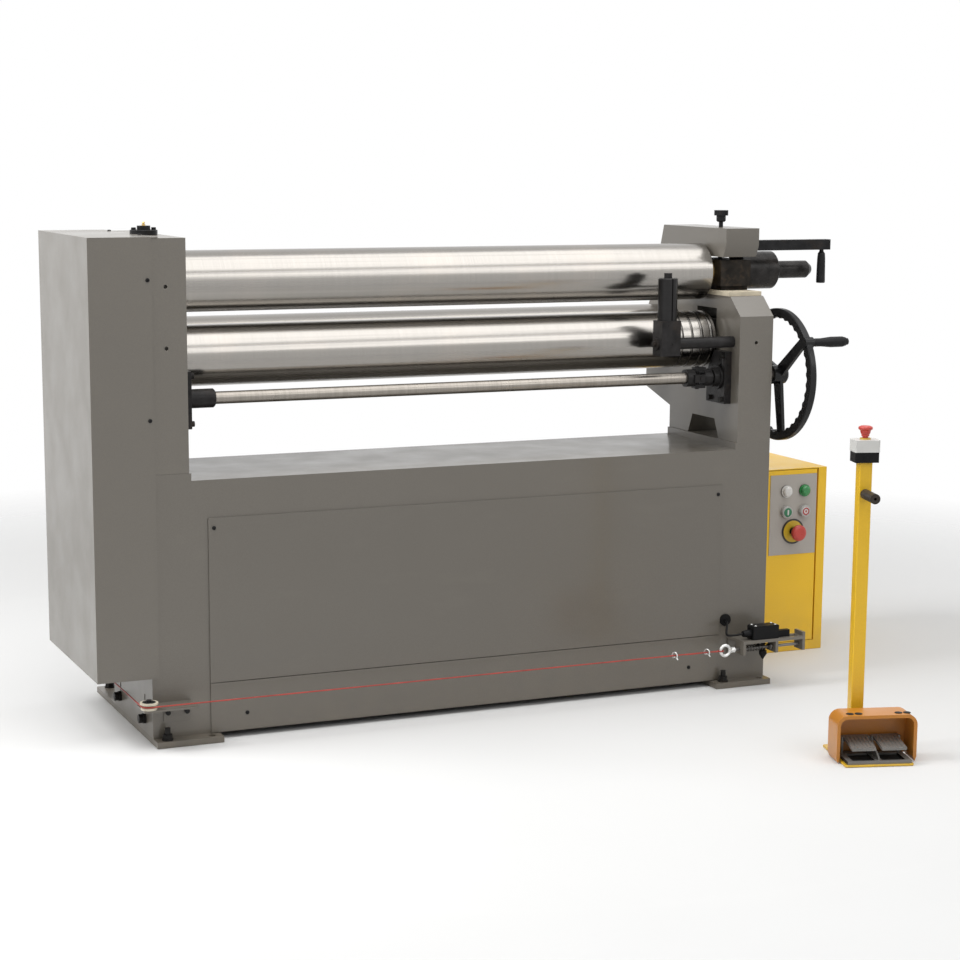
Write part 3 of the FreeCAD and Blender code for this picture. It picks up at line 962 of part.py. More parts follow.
trip_rod = join(xrod(EYE_X + EYE_R, TRIP_X1 + 6, -WIRE_OUT, WIRE_Z, ROD_R), eye,
                xrod(EYE_X + EYE_R + 3, EYE_X + EYE_R + 12, -WIRE_OUT, WIRE_Z, 6.5))
STOP_DISC, SPRING_FREE = 3.0, 4.0     # spring stop on the rod, and its gap to the middle wall
SPRING_END = MID_X - SPRING_FREE - STOP_DISC
trip_rod = join(trip_rod, xrod(SPRING_END, SPRING_END + STOP_DISC, -WIRE_OUT, WIRE_Z, 8))
save("trip_rod", trip_rod)
SPRING_X0 = TRIP_X0 + TRIP_T
SPRING_L = SPRING_END - SPRING_X0
SPRING_TURNS, SPRING_R, SPRING_BAR = 9, 6.5, 1.1
coils = []
for i in range(SPRING_TURNS):
    coil_x = SPRING_X0 + SPRING_BAR + i * (SPRING_L - 2 * SPRING_BAR) / (SPRING_TURNS - 1)
    coils.append(Part.makeTorus(SPRING_R, SPRING_BAR, V(coil_x, Y0 - WIRE_OUT, WIRE_Z), X))
spine = xrod(SPRING_X0, SPRING_END, -WIRE_OUT + SPRING_R, WIRE_Z, 0.8)
save("trip_spring", join(spine, *coils))
SWITCH_L, SWITCH_HALF, SWITCH_H = 68.0, 14.0, 32.0
SWITCH_X0 = TRIP_X0 + 28
SWITCH_X1 = SWITCH_X0 + SWITCH_L
SWITCH_MID_Z = TRIP_TOP + SWITCH_H / 2
switch = box(SWITCH_X0, SWITCH_X1, -WIRE_OUT - SWITCH_HALF, -WIRE_OUT + SWITCH_HALF, TRIP_TOP,
             TRIP_TOP + SWITCH_H)
switch = round_edges(switch, 3, lambda e: along_y(e) and e.CenterOfMass.z > SWITCH_MID_Z)
GLAND_L, GLAND_Z = 20.0, TRIP_TOP + SWITCH_HALF
GLAND_X = SWITCH_X0 - GLAND_L
gland = turned([(0, 0), (0, 7), (12, 9), (GLAND_L, 9), (GLAND_L, 0)], GLAND_X, -WIRE_OUT, GLAND_Z, X)
roller_arm = box(SWITCH_X1, SWITCH_X1 + SWITCH_L / 2, -WIRE_OUT - 6, -WIRE_OUT + 6, TRIP_TOP, SWITCH_MID_Z)
PEG_X, PEG_D, PEG_R, PEG_L = MID_X - 14, -WIRE_OUT + 15, 5.0, 26.0
peg_top = TRIP_TOP - TRIP_T
stop_peg = join(rod(PEG_X, PEG_D, peg_top, DOWN, PEG_R, PEG_L),
                turned([(0, 0), (0, 9), (8, 9), (20, 2), (20, 0)], PEG_X, PEG_D, peg_top - PEG_L, DOWN))


# Lead from the switch gland into the grommet, and the trip wire: runs joined by tangent arcs.
def route(points, radii, r):
    """A tube along a path of straight runs and tangent arcs."""
    pts = [V(x, Y0 + d, z) for x, d, z in points]
    if radii is None:
        radii = []
        for a, b, c in zip(pts, pts[1:], pts[2:]):
            turn = (b - a).getAngle(c - b)
            radii.append(0.45 * min((b - a).Length, (c - b).Length) / math.tan(turn / 2))
        print("arcs", [round(radius, 1) for radius in radii])
    edges, at = [], pts[0]
    for i in range(1, len(pts) - 1):
        u = (pts[i] - pts[i - 1]).normalize()
        w = (pts[i + 1] - pts[i]).normalize()
        turn = math.acos(max(-1.0, min(1.0, u.dot(w))))
        reach = radii[i - 1] * math.tan(turn / 2)
        a, b = pts[i] - u * reach, pts[i] + w * reach
        inward = (w - u).normalize()
        middle = pts[i] + inward * (radii[i - 1] / math.cos(turn / 2) - radii[i - 1])
        edges += [Part.LineSegment(at, a).toShape(), Part.Arc(a, middle, b).toShape()]
        at = b
    edges.append(Part.LineSegment(at, pts[-1]).toShape())
    wire = Part.Wire(edges)
    start = (pts[1] - pts[0]).normalize()
    circle = Part.Wire([Part.makeCircle(r, pts[0], start)])
    return wire.makePipeShell([circle], True, False, 1)


LEAD_R = 2.6
lead_points = [(GROMMET_X, WALL, GROMMET_Z), (GROMMET_X, -18, GROMMET_Z),
               (GROMMET_X - 9, -34, GROMMET_Z - 14), (GROMMET_X - 16, -50, GROMMET_Z - 22),
               (GROMMET_X - 12, -WIRE_OUT, GLAND_Z), (GLAND_X, -WIRE_OUT, GLAND_Z)]
save("switch_lead", route(lead_points, None, LEAD_R))
RIM = 3.0             # grommet rim on the wall
grommet = turned([(0, LEAD_R), (0, GROMMET_R + RIM), (RIM, GROMMET_R + RIM), (RIM, GROMMET_R),
                  (RIM + WALL, GROMMET_R), (RIM + WALL, LEAD_R)], GROMMET_X, -RIM, GROMMET_Z, Y)
save("trip_switch", join(switch, gland, roller_arm), stop_peg, grommet)

ANCHOR_IN_D = 20.0    # wire's end to the back of the base
ANCHOR_EYE_D = BASE_DEPTH - ANCHOR_IN_D
WIRE_LEFT = PULLEY_X - WIRE_BEND
WIRE_FRONT = -WIRE_OUT
trip_wire = route([(EYE_X - EYE_R - EYE_BAR, WIRE_FRONT, WIRE_Z), (WIRE_LEFT, WIRE_FRONT, WIRE_Z),
                   (WIRE_LEFT, ANCHOR_EYE_D, WIRE_Z)], [WIRE_BEND], WIRE_R)
CLIP_BACK = (52.0, 122.0)     # wire clips behind the eye
SADDLE_R, SADDLE_L = 4.2, 10.0
clips = []
for back in CLIP_BACK:
    clip_x = EYE_X - back
    clip = Part.makeTorus(5.5, 1.8, V(clip_x, Y0 + WIRE_FRONT, WIRE_Z), V(1, 0.25, 0).normalize())
    saddle_x0, saddle_x1 = clip_x - SADDLE_L / 2, clip_x + SADDLE_L / 2
    saddle = xrod(saddle_x0, saddle_x1, WIRE_FRONT, WIRE_Z, SADDLE_R).cut(
        xrod(saddle_x0 - 1, saddle_x1 + 1, WIRE_FRONT, WIRE_Z, WIRE_R))
    clips.append(join(clip, saddle))
save("trip_wire", trip_wire, *clips)
ANCHOR_BOLT_R, ANCHOR_FLANGE_R, ANCHOR_FLANGE_T = 4.0, 9.0, 8.0
anchor_d = ANCHOR_EYE_D + ANCHOR_BOLT_R
anchor = join(xrod(WIRE_LEFT - 8, X_LEFT, anchor_d, WIRE_Z, ANCHOR_BOLT_R),
              xrod(X_LEFT - ANCHOR_FLANGE_T, X_LEFT, anchor_d, WIRE_Z, ANCHOR_FLANGE_R))
save("frame_bolts", anchor, *frame_bolts)
save("panel_screws", *screws)

# ==== control cabinet ====
CAB_X0, CAB_X1 = X_RIGHT, X_RIGHT + CAB_WIDTH
case = box(CAB_X0, CAB_X1, CAB_FRONT, CAB_FRONT + CAB_DEPTH, 0, CAB_HEIGHT)
HINGE_GAP, DOOR_GAP, SILL_T = 4.5, 1.5, 2.0
DOOR_X0, DOOR_X1 = CAB_X0 + CAB_SHEET + THIN, CAB_X1 - DOOR_MARGIN - HINGE_GAP
DOOR_Z0, DOOR_Z1 = DOOR_MARGIN + DOOR_GAP, CAB_HEIGHT - CAB_SHEET - DOOR_GAP
RECESS = CAB_FRONT + DOOR_T + SILL_T
under_top = CAB_HEIGHT - CAB_SHEET
mouth = box(CAB_X0 + CAB_SHEET, CAB_X1 - DOOR_MARGIN, CAB_FRONT - 1, RECESS, DOOR_MARGIN, under_top)
cavity = box(CAB_X0 + CAB_SHEET, CAB_X1 - CAB_SHEET, RECESS, CAB_FRONT + CAB_DEPTH - CAB_SHEET,
             CAB_SHEET, under_top)
save("cabinet_case", case.cut(mouth).cut(cavity))
door = box(DOOR_X0, DOOR_X1, CAB_FRONT, CAB_FRONT + DOOR_T, DOOR_Z0, DOOR_Z1)
door = door.cut(box(DOOR_X0 + CAB_SHEET, DOOR_X1 - CAB_SHEET, CAB_FRONT + CAB_SHEET, CAB_FRONT + DOOR_T + 1,
                    DOOR_Z0 + CAB_SHEET, DOOR_Z1 - CAB_SHEET))
PLATE_X1 = DOOR_X1 - 1
PLATE_X0 = PLATE_X1 - PANEL_SIZE[0]
CTRL_Z1 = CAB_HEIGHT - PANEL_FALL
CTRL_Z0 = CTRL_Z1 - PANEL_SIZE[1]
COL_L, COL_R = PLATE_X0 + COLUMNS[0], PLATE_X0 + COLUMNS[1]
ROW_LAMP, ROW_BUTTON, ROW_STOP = (CTRL_Z1 - fall for fall in ROWS)
STOP_X = PLATE_X0 + STOP_COLUMN
BORE_R = 11.0
PLATE_SHEET = 1.5
spots = [(COL_L, ROW_LAMP), (COL_R, ROW_LAMP), (COL_L, ROW_BUTTON), (COL_R, ROW_BUTTON), (STOP_X, ROW_STOP)]
plate = box(PLATE_X0, PLATE_X1, CAB_FRONT - PLATE_SHEET, CAB_FRONT, CTRL_Z0, CTRL_Z1)
for sx, sz in spots:
    door = door.cut(rod(sx, CAB_FRONT - 1, sz, Y, BORE_R, CAB_SHEET + 2))
    plate = plate.cut(rod(sx, CAB_FRONT - 3, sz, Y, BORE_R, 4))
HINGE_R, HINGE_L, HINGE_END = 3.0, 40.0, 50.0
HINGE_X, HINGE_D = DOOR_X1 - CAB_SHEET - HINGE_R, CAB_FRONT + CAB_SHEET + HINGE_R
hinge_zs = (DOOR_Z0 + HINGE_END, DOOR_Z1 - HINGE_END - HINGE_L)
pins = [rod(HINGE_X, HINGE_D, hz, Z, HINGE_R, HINGE_L) for hz in hinge_zs]
save("cabinet_door", door, *pins)
save("control_plate", plate)
FACE = CAB_FRONT - PLATE_SHEET
LENS_OUT, BARREL = 14.0, 40.0         # lens ahead of the plate, and the whole lamp's length


def lamp(x, z):
    lens = [(0, 0), (1.5, 9), (4, 12), (9, 13), (9, BEZEL_R)]
    body = [(LENS_OUT, BEZEL_R), (LENS_OUT, BORE_R), (BARREL, BORE_R), (BARREL, 0)]
    return turned(lens + body, x, FACE - LENS_OUT, z, Y)


save("pilot_lamps", lamp(COL_L, ROW_LAMP), lamp(COL_R, ROW_LAMP))
STOP_PRESS = 4.0      # travel of the cabinet's stop head
CAP_FACE_R = 11.0     # push button cap
well_r = CAP_FACE_R - 2
bezel_outer = [(0, CAP_FACE_R + FREE), (0, BEZEL_R - 1.5), (2, BEZEL_R), (11, BEZEL_R), (11, BORE_R)]
bezel_inner = [(38, BORE_R), (38, 8), (17, 8), (17, well_r), (12, well_r), (12, CAP_FACE_R + FREE)]
bezels = [turned(bezel_outer + bezel_inner, bx, FACE - 11, ROW_BUTTON, Y) for bx in (COL_L, COL_R)]


def push_cap(x):
    disc = [(0, 0), (0, CAP_FACE_R - 1.5), (1.2, CAP_FACE_R), (7, CAP_FACE_R)]
    return turned(disc + [(7, 6), (22, 6), (22, 0)], x, FACE - 12, ROW_BUTTON, Y)


save("start_button", push_cap(COL_L))
save("stop_button", push_cap(COL_R))
LEGEND_R = 31.5
LEGEND_T = 1.5
legend = turned([(0, 12), (0, LEGEND_R), (LEGEND_T, LEGEND_R), (LEGEND_T, BORE_R), (42, BORE_R), (42, 9),
                 (2, 9), (2, 12)], STOP_X, FACE - LEGEND_T, ROW_STOP, Y)
save("button_bezels", *bezels, legend)


# An emergency stop head on its neck, as shares of the head's radius; the stem ends inside the body.
MUSHROOM = [(0, 0), (0, 0.65), (0.125, 0.925), (0.25, 1), (0.45, 1), (0.65, 0.75), (1, 0.675), (1.25, 0.55),
            (1.45, 0.55), (1.45, 0.4), (2, 0.4), (2, 0)]
NECK = 1.45


def mushroom(x, d, z, axis, r):
    return turned([(r * a, r * b) for a, b in MUSHROOM], x, d, z, axis)


STOP_BACK = FACE - NECK * MUSHROOM_R - STOP_PRESS - 2
save("cabinet_stop_head", mushroom(STOP_X, STOP_BACK, ROW_STOP, Y, MUSHROOM_R))

# ==== foot pedestal, built in its own frame and then turned into place ====
PED = FreeCAD.Placement(V(PED_X, PED_Y, 0), FreeCAD.Rotation(V(0, 0, 1), PED_TURN))


def ubox(u0, u1, v0, v1, z0, z1):
    return Part.makeBox(u1 - u0, v1 - v0, z1 - z0, V(u0, v0, z0))


def ucyl(u, v, z, axis, r, length):
    return Part.makeCylinder(r, length, V(u, v, z), axis)


def place(name, *solids):
    moved = []
    for solid in solids:
        copy = solid.copy()
        copy.Placement = PED.multiply(copy.Placement)
        moved.append(copy)
    save(name, *moved)


def upright(e):
    return abs(e.tangentAt(e.FirstParameter).z) > 0.9


PU, PV, PT = PED_PLATE
place("pedestal_plate", round_edges(ubox(0, PU, 0, PV, 0, PT), 5, upright))
post = ubox(POST_U - POST / 2, POST_U + POST / 2, POST_V - POST / 2, POST_V + POST / 2, PT, POST_TOP)
post = round_edges(post, 2.5, upright)
CARRY_Z, CARRY_R, CARRY_L, CARRY_HOLE_R = 540.0, 10.5, 66.0, 3.0
carry_v = POST_V - POST / 2
carry = ucyl(POST_U, carry_v, CARRY_Z, FRONT_Y, CARRY_R, CARRY_L)
carry = carry.cut(ucyl(POST_U, carry_v - CARRY_L - 1, CARRY_Z, Y, CARRY_HOLE_R, 9))
place("pedestal_post", post, carry)

# Hood: a bent shell, open at the front, over the two pedals.
HOOD_U0 = (PU - HOOD_W) / 2 + HOOD_RIGHT
HOOD_V0 = 30.0
HOOD_U1 = HOOD_U0 + HOOD_W
HOOD_FLOOR, TIP = 1.0, 12.0   # the leg tips above the floor, and the height of their points


def arch(u0, u1, top, r, low, v0, v1):
    """An upside-down U: two upright legs under a top with round corners."""
    lean = r * (1 - math.sqrt(0.5))
    start, end = V(u0, v0, low), V(u1, v0, low)
    left, right = V(u0, v0, top - r), V(u1, v0, top - r)
    top_left, top_right = V(u0 + r, v0, top), V(u1 - r, v0, top)
    edges = [Part.makeLine(start, left),
             Part.Arc(left, V(u0 + lean, v0, top - lean), top_left).toShape(),
             Part.makeLine(top_left, top_right),
             Part.Arc(top_right, V(u1 - lean, v0, top - lean), right).toShape(),
             Part.makeLine(right, end), Part.makeLine(end, start)]
    return Part.Face(Part.Wire(edges)).extrude(V(0, v1 - v0, 0))


HOOD_V1 = HOOD_V0 + HOOD_DEPTH
hood = arch(HOOD_U0, HOOD_U1, HOOD_H, HOOD_ROUND, HOOD_FLOOR, HOOD_V0, HOOD_V1)
hood = hood.cut(arch(HOOD_U0 + HOOD_WALL, HOOD_U1 - HOOD_WALL, HOOD_H - HOOD_WALL, HOOD_ROUND - HOOD_WALL,
                     HOOD_FLOOR - 1, HOOD_V0 - 1, HOOD_V1 + 1))
for leg_u in (HOOD_U0, HOOD_U1 - HOOD_WALL):
    # Each leg ends in a point, cut away on both sides.
    point = leg_u + HOOD_WALL / 2
    for edge_u in (leg_u - 1, leg_u + HOOD_WALL + 1):
        corner = [V(point, HOOD_V0 - 1, HOOD_FLOOR - 0.5), V(edge_u, HOOD_V0 - 1, HOOD_FLOOR - 0.5),
                  V(edge_u, HOOD_V0 - 1, HOOD_FLOOR + TIP)]
        wedge = Part.Face(Part.makePolygon(corner + corner[:1])).extrude(V(0, HOOD_DEPTH + 2, 0))
        hood = hood.cut(wedge)
hood = hood.cut(ubox(-1, PU + 1, HOOD_V0 - 1, HOOD_V1 + 1, 0, PT))
back = arch(HOOD_U0 + HOOD_WALL - 1, HOOD_U1 - HOOD_WALL + 1, HOOD_H - HOOD_WALL + 1, HOOD_ROUND - HOOD_WALL,
            PT, HOOD_V1 - HOOD_BACK, HOOD_V1)
hood = join(hood, back)
HOOD_HOLE_US, HOOD_HOLE_IN = (30.0, 48.0, 132.0, 150.0), 16.0
for hole_u in HOOD_HOLE_US:
    hood = hood.cut(ucyl(HOOD_U0 + hole_u, HOOD_V0 + HOOD_HOLE_IN, HOOD_H - HOOD_WALL - 1, Z,
                         HOOD_HOLE_R, HOOD_WALL + 2))
place("pedal_hood", hood)

TRAY_V0, TRAY_V1, TRAY_H, TRAY_FLOOR = 4.0, 84.0, 7.0, 3.0
WELL_V0, WELL_V1, DIVIDER_T = 10.0, 62.0, 3.0
MID_U = PU / 2
tray = ubox(6, PU - 4, TRAY_V0, TRAY_V1, PT, PT + TRAY_H)
for well_u0, well_u1 in ((18, MID_U - 8), (MID_U + 8, PU - 16)):
    tray = tray.cut(ubox(well_u0, well_u1, WELL_V0, WELL_V1, PT + TRAY_FLOOR, PT + TRAY_H + 1))
DIVIDER_SIDE = ((8, PT), (TRAY_V1, PT), (TRAY_V1, 44), (56, 40), (8, 17))
divider_side = [V(MID_U - DIVIDER_T / 2, v, z) for v, z in DIVIDER_SIDE]
divider = Part.Face(Part.makePolygon(divider_side + divider_side[:1])).extrude(V(DIVIDER_T, 0, 0))
base_pad = join(tray, divider)
PEDAL_V, PEDAL_Z, AXLE_R = 74.0, 40.0, 3.0
LUG_T, LUG_HALF, LUG_UP = 4.0, 7.0, 6.0
for u in (11, MID_U - 6, MID_U + 2, PU - 13):
    lug = ubox(u, u + LUG_T, PEDAL_V - LUG_HALF, PEDAL_V + LUG_HALF, PT, PEDAL_Z + LUG_UP)
    base_pad = join(base_pad, lug)
base_pad = base_pad.cut(ucyl(-1, PEDAL_V, PEDAL_Z, X, AXLE_R, PU + 2))
place("pedal_base", base_pad, ucyl(11, PEDAL_V, PEDAL_Z, X, AXLE_R, PU - 20))
RIBS, RIB_PITCH, RIB_W, PEDAL_TILT = 6, 8.0, 3.0, 8.0


def treadle(u0, u1):
    """A ribbed pedal plate that tilts about the axle behind it."""
    body = ubox(u0, u1, 8 - PEDAL_V, 6, -3, 3)
    ribs = []
    for i in range(RIBS):
        rib_u = u0 + RIB_W + i * RIB_PITCH
        ribs.append(ubox(rib_u, rib_u + RIB_W, 10 - PEDAL_V, -4, 2.5, 4.2))
    eye = ucyl(u0, 0, -3, X, 6, u1 - u0)
    solid = join(body, eye, *ribs).cut(ucyl(u0 - 1, 0, -3, X, AXLE_R + RUN, u1 - u0 + 2))
    solid.rotate(V(0, 0, -3), X, PEDAL_TILT)
    solid.translate(V(0, PEDAL_V, PEDAL_Z + 3))
    return solid


place("left_pedal", treadle(16, MID_U - 6.5))
place("right_pedal", treadle(MID_U + 6.5, PU - 14))

BU, BV, BH = BOX_SIZE
box_u0, box_v0 = POST_U - BU / 2, POST_V - BV / 2
BOX_LOWER, BOX_ROUND = 21.2, 3.0      # height of the box's lower half, and its rounded corners
SPLIT, BOX_TOP = POST_TOP + BOX_LOWER, POST_TOP + BH
lower_box = ubox(box_u0 + 1, box_u0 + BU - 1, box_v0 + 1, box_v0 + BV - 1, POST_TOP, SPLIT)
lower_box = round_edges(lower_box, BOX_ROUND, upright)
lid = round_edges(ubox(box_u0, box_u0 + BU, box_v0, box_v0 + BV, SPLIT, BOX_TOP), BOX_ROUND, upright)
STEM_R = 6.2
RING_R, RING_T = 11.0, 3.0
STOP_TRAVEL = 3.0
lid = lid.cut(ucyl(POST_U, POST_V, SPLIT - 1, Z, STEM_R + FREE, BH))
ring = ucyl(POST_U, POST_V, BOX_TOP, Z, RING_R, RING_T)
ring = ring.cut(ucyl(POST_U, POST_V, BOX_TOP - 1, Z, STEM_R + FREE, RING_T + 2))
place("pedestal_box", lower_box, lid, ring)
PED_MUSHROOM_R = 14.6
head = mushroom(0, 0, 0, DOWN, PED_MUSHROOM_R)
HEAD_Z = BOX_TOP + RING_T + STOP_TRAVEL + THIN + NECK * PED_MUSHROOM_R
head.Placement = FreeCAD.Placement(V(POST_U, POST_V, HEAD_Z), FreeCAD.Rotation(V(0, 0, 1), DOWN))
place("pedestal_stop_head", head)
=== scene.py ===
import math

import bmesh
import bpy
from mathutils import Matrix, Vector


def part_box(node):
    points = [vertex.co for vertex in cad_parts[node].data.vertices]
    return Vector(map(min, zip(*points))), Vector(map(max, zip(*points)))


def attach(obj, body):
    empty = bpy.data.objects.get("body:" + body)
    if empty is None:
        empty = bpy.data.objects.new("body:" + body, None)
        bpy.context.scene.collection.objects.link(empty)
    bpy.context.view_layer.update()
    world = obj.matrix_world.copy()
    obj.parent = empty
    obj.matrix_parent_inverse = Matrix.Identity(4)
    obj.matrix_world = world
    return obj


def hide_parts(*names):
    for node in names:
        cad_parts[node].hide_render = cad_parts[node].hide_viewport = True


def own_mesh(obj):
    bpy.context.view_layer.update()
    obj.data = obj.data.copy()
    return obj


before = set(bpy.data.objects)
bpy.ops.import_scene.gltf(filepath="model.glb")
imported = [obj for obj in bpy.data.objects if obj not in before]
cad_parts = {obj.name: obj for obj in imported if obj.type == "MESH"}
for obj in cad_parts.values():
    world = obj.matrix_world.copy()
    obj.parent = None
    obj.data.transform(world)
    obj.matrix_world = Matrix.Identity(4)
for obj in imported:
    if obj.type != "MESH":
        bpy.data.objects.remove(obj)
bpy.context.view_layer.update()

# ---- Camera
# Stands to the left of the machine at chest height and looks a little down along the rolls,
# with a long lens, so that the rolls stay nearly parallel.
stand_point = Vector((-1.9175, -4.4306, 1.21875))
yaw, pitch, roll = math.radians(23.27), math.radians(9.76), math.radians(0.26)
ahead = Vector((math.sin(yaw) * math.cos(pitch), math.cos(yaw) * math.cos(pitch), -math.sin(pitch)))
level = Vector((math.cos(yaw), -math.sin(yaw), 0))
rise = level.cross(ahead)
side = level * math.cos(roll) + rise * math.sin(roll)
upward = rise * math.cos(roll) - level * math.sin(roll)
camera = bpy.data.objects.new("camera", bpy.data.cameras.new("camera"))
bpy.context.scene.collection.objects.link(camera)
camera.matrix_world = Matrix((
    (side.x, upward.x, -ahead.x, stand_point.x), (side.y, upward.y, -ahead.y, stand_point.y),
    (side.z, upward.z, -ahead.z, stand_point.z), (0, 0, 0, 1)))
camera.data.lens = 80.03
camera.data.shift_x, camera.data.shift_y = 0.0281, 0.0429
camera.data.clip_end = 60
bpy.context.scene.camera = camera

# ---- Trip wire
# A 3 mm steel wire in a red plastic coat, stretched along the front at ankle height. It starts at the
# spring rod's eye, turns round the corner pulley and ends on an anchor bolt at the back of the left wall.
# Two sprung ring clips hold its doubled end.


def new_finish(name, roughness, metal=0.0):
    """An empty finish, with its node tree and its shader."""
    made = bpy.data.materials.new(name)
    made.use_nodes = True
    shader = made.node_tree.nodes["Principled BSDF"]
    shader.inputs["Roughness"].default_value = roughness
    shader.inputs["Metallic"].default_value = metal
    return made, made.node_tree, shader


def cloud(tree, scale, detail=3, stretch=(1, 1, 1), shift=0.0):
    """Noise over the piece with so many grains to the metre, denser along the axes that stretch names."""
    place = tree.nodes.new("ShaderNodeTexCoord")
    turn = tree.nodes.new("ShaderNodeMapping")
    turn.inputs["Scale"].default_value = stretch
    turn.inputs["Location"].default_value = (shift, shift, shift)
    noise = tree.nodes.new("ShaderNodeTexNoise")
    noise.inputs["Scale"].default_value = scale
    noise.inputs["Detail"].default_value = detail
    tree.links.new(place.outputs["Object"], turn.inputs["Vector"])
    tree.links.new(turn.outputs["Vector"], noise.inputs["Vector"])
    return noise.outputs["Fac"]


def span(tree, value, to_low, to_high, from_low=0.3, from_high=0.7):
    """The value drawn out from one range to another and held at its ends."""
    node = tree.nodes.new("ShaderNodeMapRange")
    node.inputs["From Min"].default_value, node.inputs["From Max"].default_value = from_low, from_high
    node.inputs["To Min"].default_value, node.inputs["To Max"].default_value = to_low, to_high
    tree.links.new(value, node.inputs["Value"])
    return node.outputs["Result"]


def stain(tree, share, first, second):
    """One colour or socket going over into another by share."""
    node = tree.nodes.new("ShaderNodeMix")
    node.data_type = "RGBA"
    tree.links.new(share, node.inputs["Factor"])
    for socket, tone in ((node.inputs["A"], first), (node.inputs["B"], second)):
        if isinstance(tone, tuple):
            socket.default_value = (*tone, 1)
        else:
            tree.links.new(tone, socket)
    return node.outputs["Result"]


def relief(tree, shader, *layers):
    """Bump in layers, each a height with its depth in metres."""
    under = None
    for height, depth in layers:
        bump = tree.nodes.new("ShaderNodeBump")
        bump.inputs["Strength"].default_value = 1
        bump.inputs["Distance"].default_value = depth
        tree.links.new(height, bump.inputs["Height"])
        if under:
            tree.links.new(under, bump.inputs["Normal"])
        under = bump.outputs["Normal"]
    tree.links.new(under, shader.inputs["Normal"])


def shade(colour, by):
    """The colour made darker or lighter, and no lighter than white."""
    return tuple(min(1.0, c * by) for c in colour)


def moulded(name, colour, gloss, grain=900, depth=0.00002, wear=0.10, shine=0.5):
    """Plastic or rubber from a mould: an even tone with faint clouds, a fine spark-eroded grain and dull rubs."""
    made, tree, shader = new_finish(name, gloss)
    shader.inputs["Specular IOR Level"].default_value = shine
    tone = stain(tree, span(tree, cloud(tree, 35, 4), 0, 1), shade(colour, 1 - wear), shade(colour, 1 + wear))
    tree.links.new(tone, shader.inputs["Base Color"])
    tree.links.new(span(tree, cloud(tree, 60, 5, shift=3), gloss - 0.05, gloss + 0.12), shader.inputs["Roughness"])
    relief(tree, shader, (cloud(tree, grain, 2), depth))
    return made


red_coat = moulded("red_wire_coat", (0.36, 0.036, 0.024), 0.40, grain=1500, depth=0.00003, wear=0.22)
WIRE_THICK, WIRE_LENGTH = 0.003, 1.7104
wire_points = [(0.5304, -0.287, 0.098), (-0.789, -0.287, 0.098), (-0.8235, -0.287, 0.098),
               (-0.8235, -0.2525, 0.098), (-0.8235, 0.076, 0.098)]
WIRE_Y, WIRE_Z = wire_points[0][1:]


def lay_cord(name, points, thick, finish):
    """A smooth cord through its route's points."""
    line = bpy.data.curves.new(name, "CURVE")
    line.dimensions = "3D"
    spline = line.splines.new("NURBS")
    spline.points.add(len(points) - 1)
    for knot, point in zip(spline.points, points):
        knot.co = (*point, 1)
        knot.radius = thick / 2
    spline.order_u = 3
    spline.use_endpoint_u = True
    spline.resolution_u = 24
    line.bevel_depth, line.bevel_resolution = 1, 6
    line.use_fill_caps = True
    cord = bpy.data.objects.new(name, line)
    bpy.context.scene.collection.objects.link(cord)
    line.materials.append(finish)
    return cord


trip_line = lay_cord("trip_wire_line", wire_points, WIRE_THICK, red_coat)


def new_piece(name, mesh_maker, finish, sharp=35):
    """A piece of its own from a bmesh that is drawn in the machine's frame, smooth but for its sharp edges."""
    made = bpy.data.meshes.new(name)
    drawn = bmesh.new()
    mesh_maker(drawn)
    bmesh.ops.recalc_face_normals(drawn, faces=drawn.faces)
    drawn.to_mesh(made)
    drawn.free()
    made.materials.append(finish)
    made.shade_smooth()
    made.set_sharp_from_angle(angle=math.radians(sharp))
    piece = bpy.data.objects.new(name, made)
    bpy.context.scene.collection.objects.link(piece)
    return piece


def sweep(drawn, dots, radius, closed=False, around=12):
    """Adds a round bar along dots, joined into a ring where it is closed and with flat ends where it is open."""
    rings = []
    count = len(dots)
    for i, dot in enumerate(dots):
        before = dots[i - 1] if i or closed else dots[0]
        after = dots[(i + 1) % count] if i + 1 < count or closed else dots[-1]
        run = (after - before).normalized()
        if i == 0:
            across = run.orthogonal().normalized()
        across = (across - run * across.dot(run)).normalized()
        other = run.cross(across)
        rings.append([drawn.verts.new(dot + (across * math.cos(t) + other * math.sin(t)) * radius)
                      for t in (2 * math.pi * k / around for k in range(around))])
    pairs = list(zip(rings, rings[1:])) + ([(rings[-1], rings[0])] if closed else [])
    for one, two in pairs:
        turn = 0
        if closed and one is rings[-1]:
            turn = min(range(around), key=lambda k: (one[0].co - two[k].co).length)
        for k in range(around):
            drawn.faces.new((one[k], one[(k + 1) % around], two[(k + 1 + turn) % around], two[(k + turn) % around]))
    if not closed:
        drawn.faces.new(list(reversed(rings[0])))
        drawn.faces.new(rings[-1])


zinc, tree, shader = new_finish("zinc_plate", 0.3, 0.6)
tree.links.new(stain(tree, span(tree, cloud(tree, 120, 4), 0, 1), (0.62, 0.62, 0.60), (0.86, 0.86, 0.85)),
               shader.inputs["Base Color"])
tree.links.new(span(tree, cloud(tree, 260, 3), 0.22, 0.42), shader.inputs["Roughness"])
relief(tree, shader, (cloud(tree, 1400, 2), 0.00003))


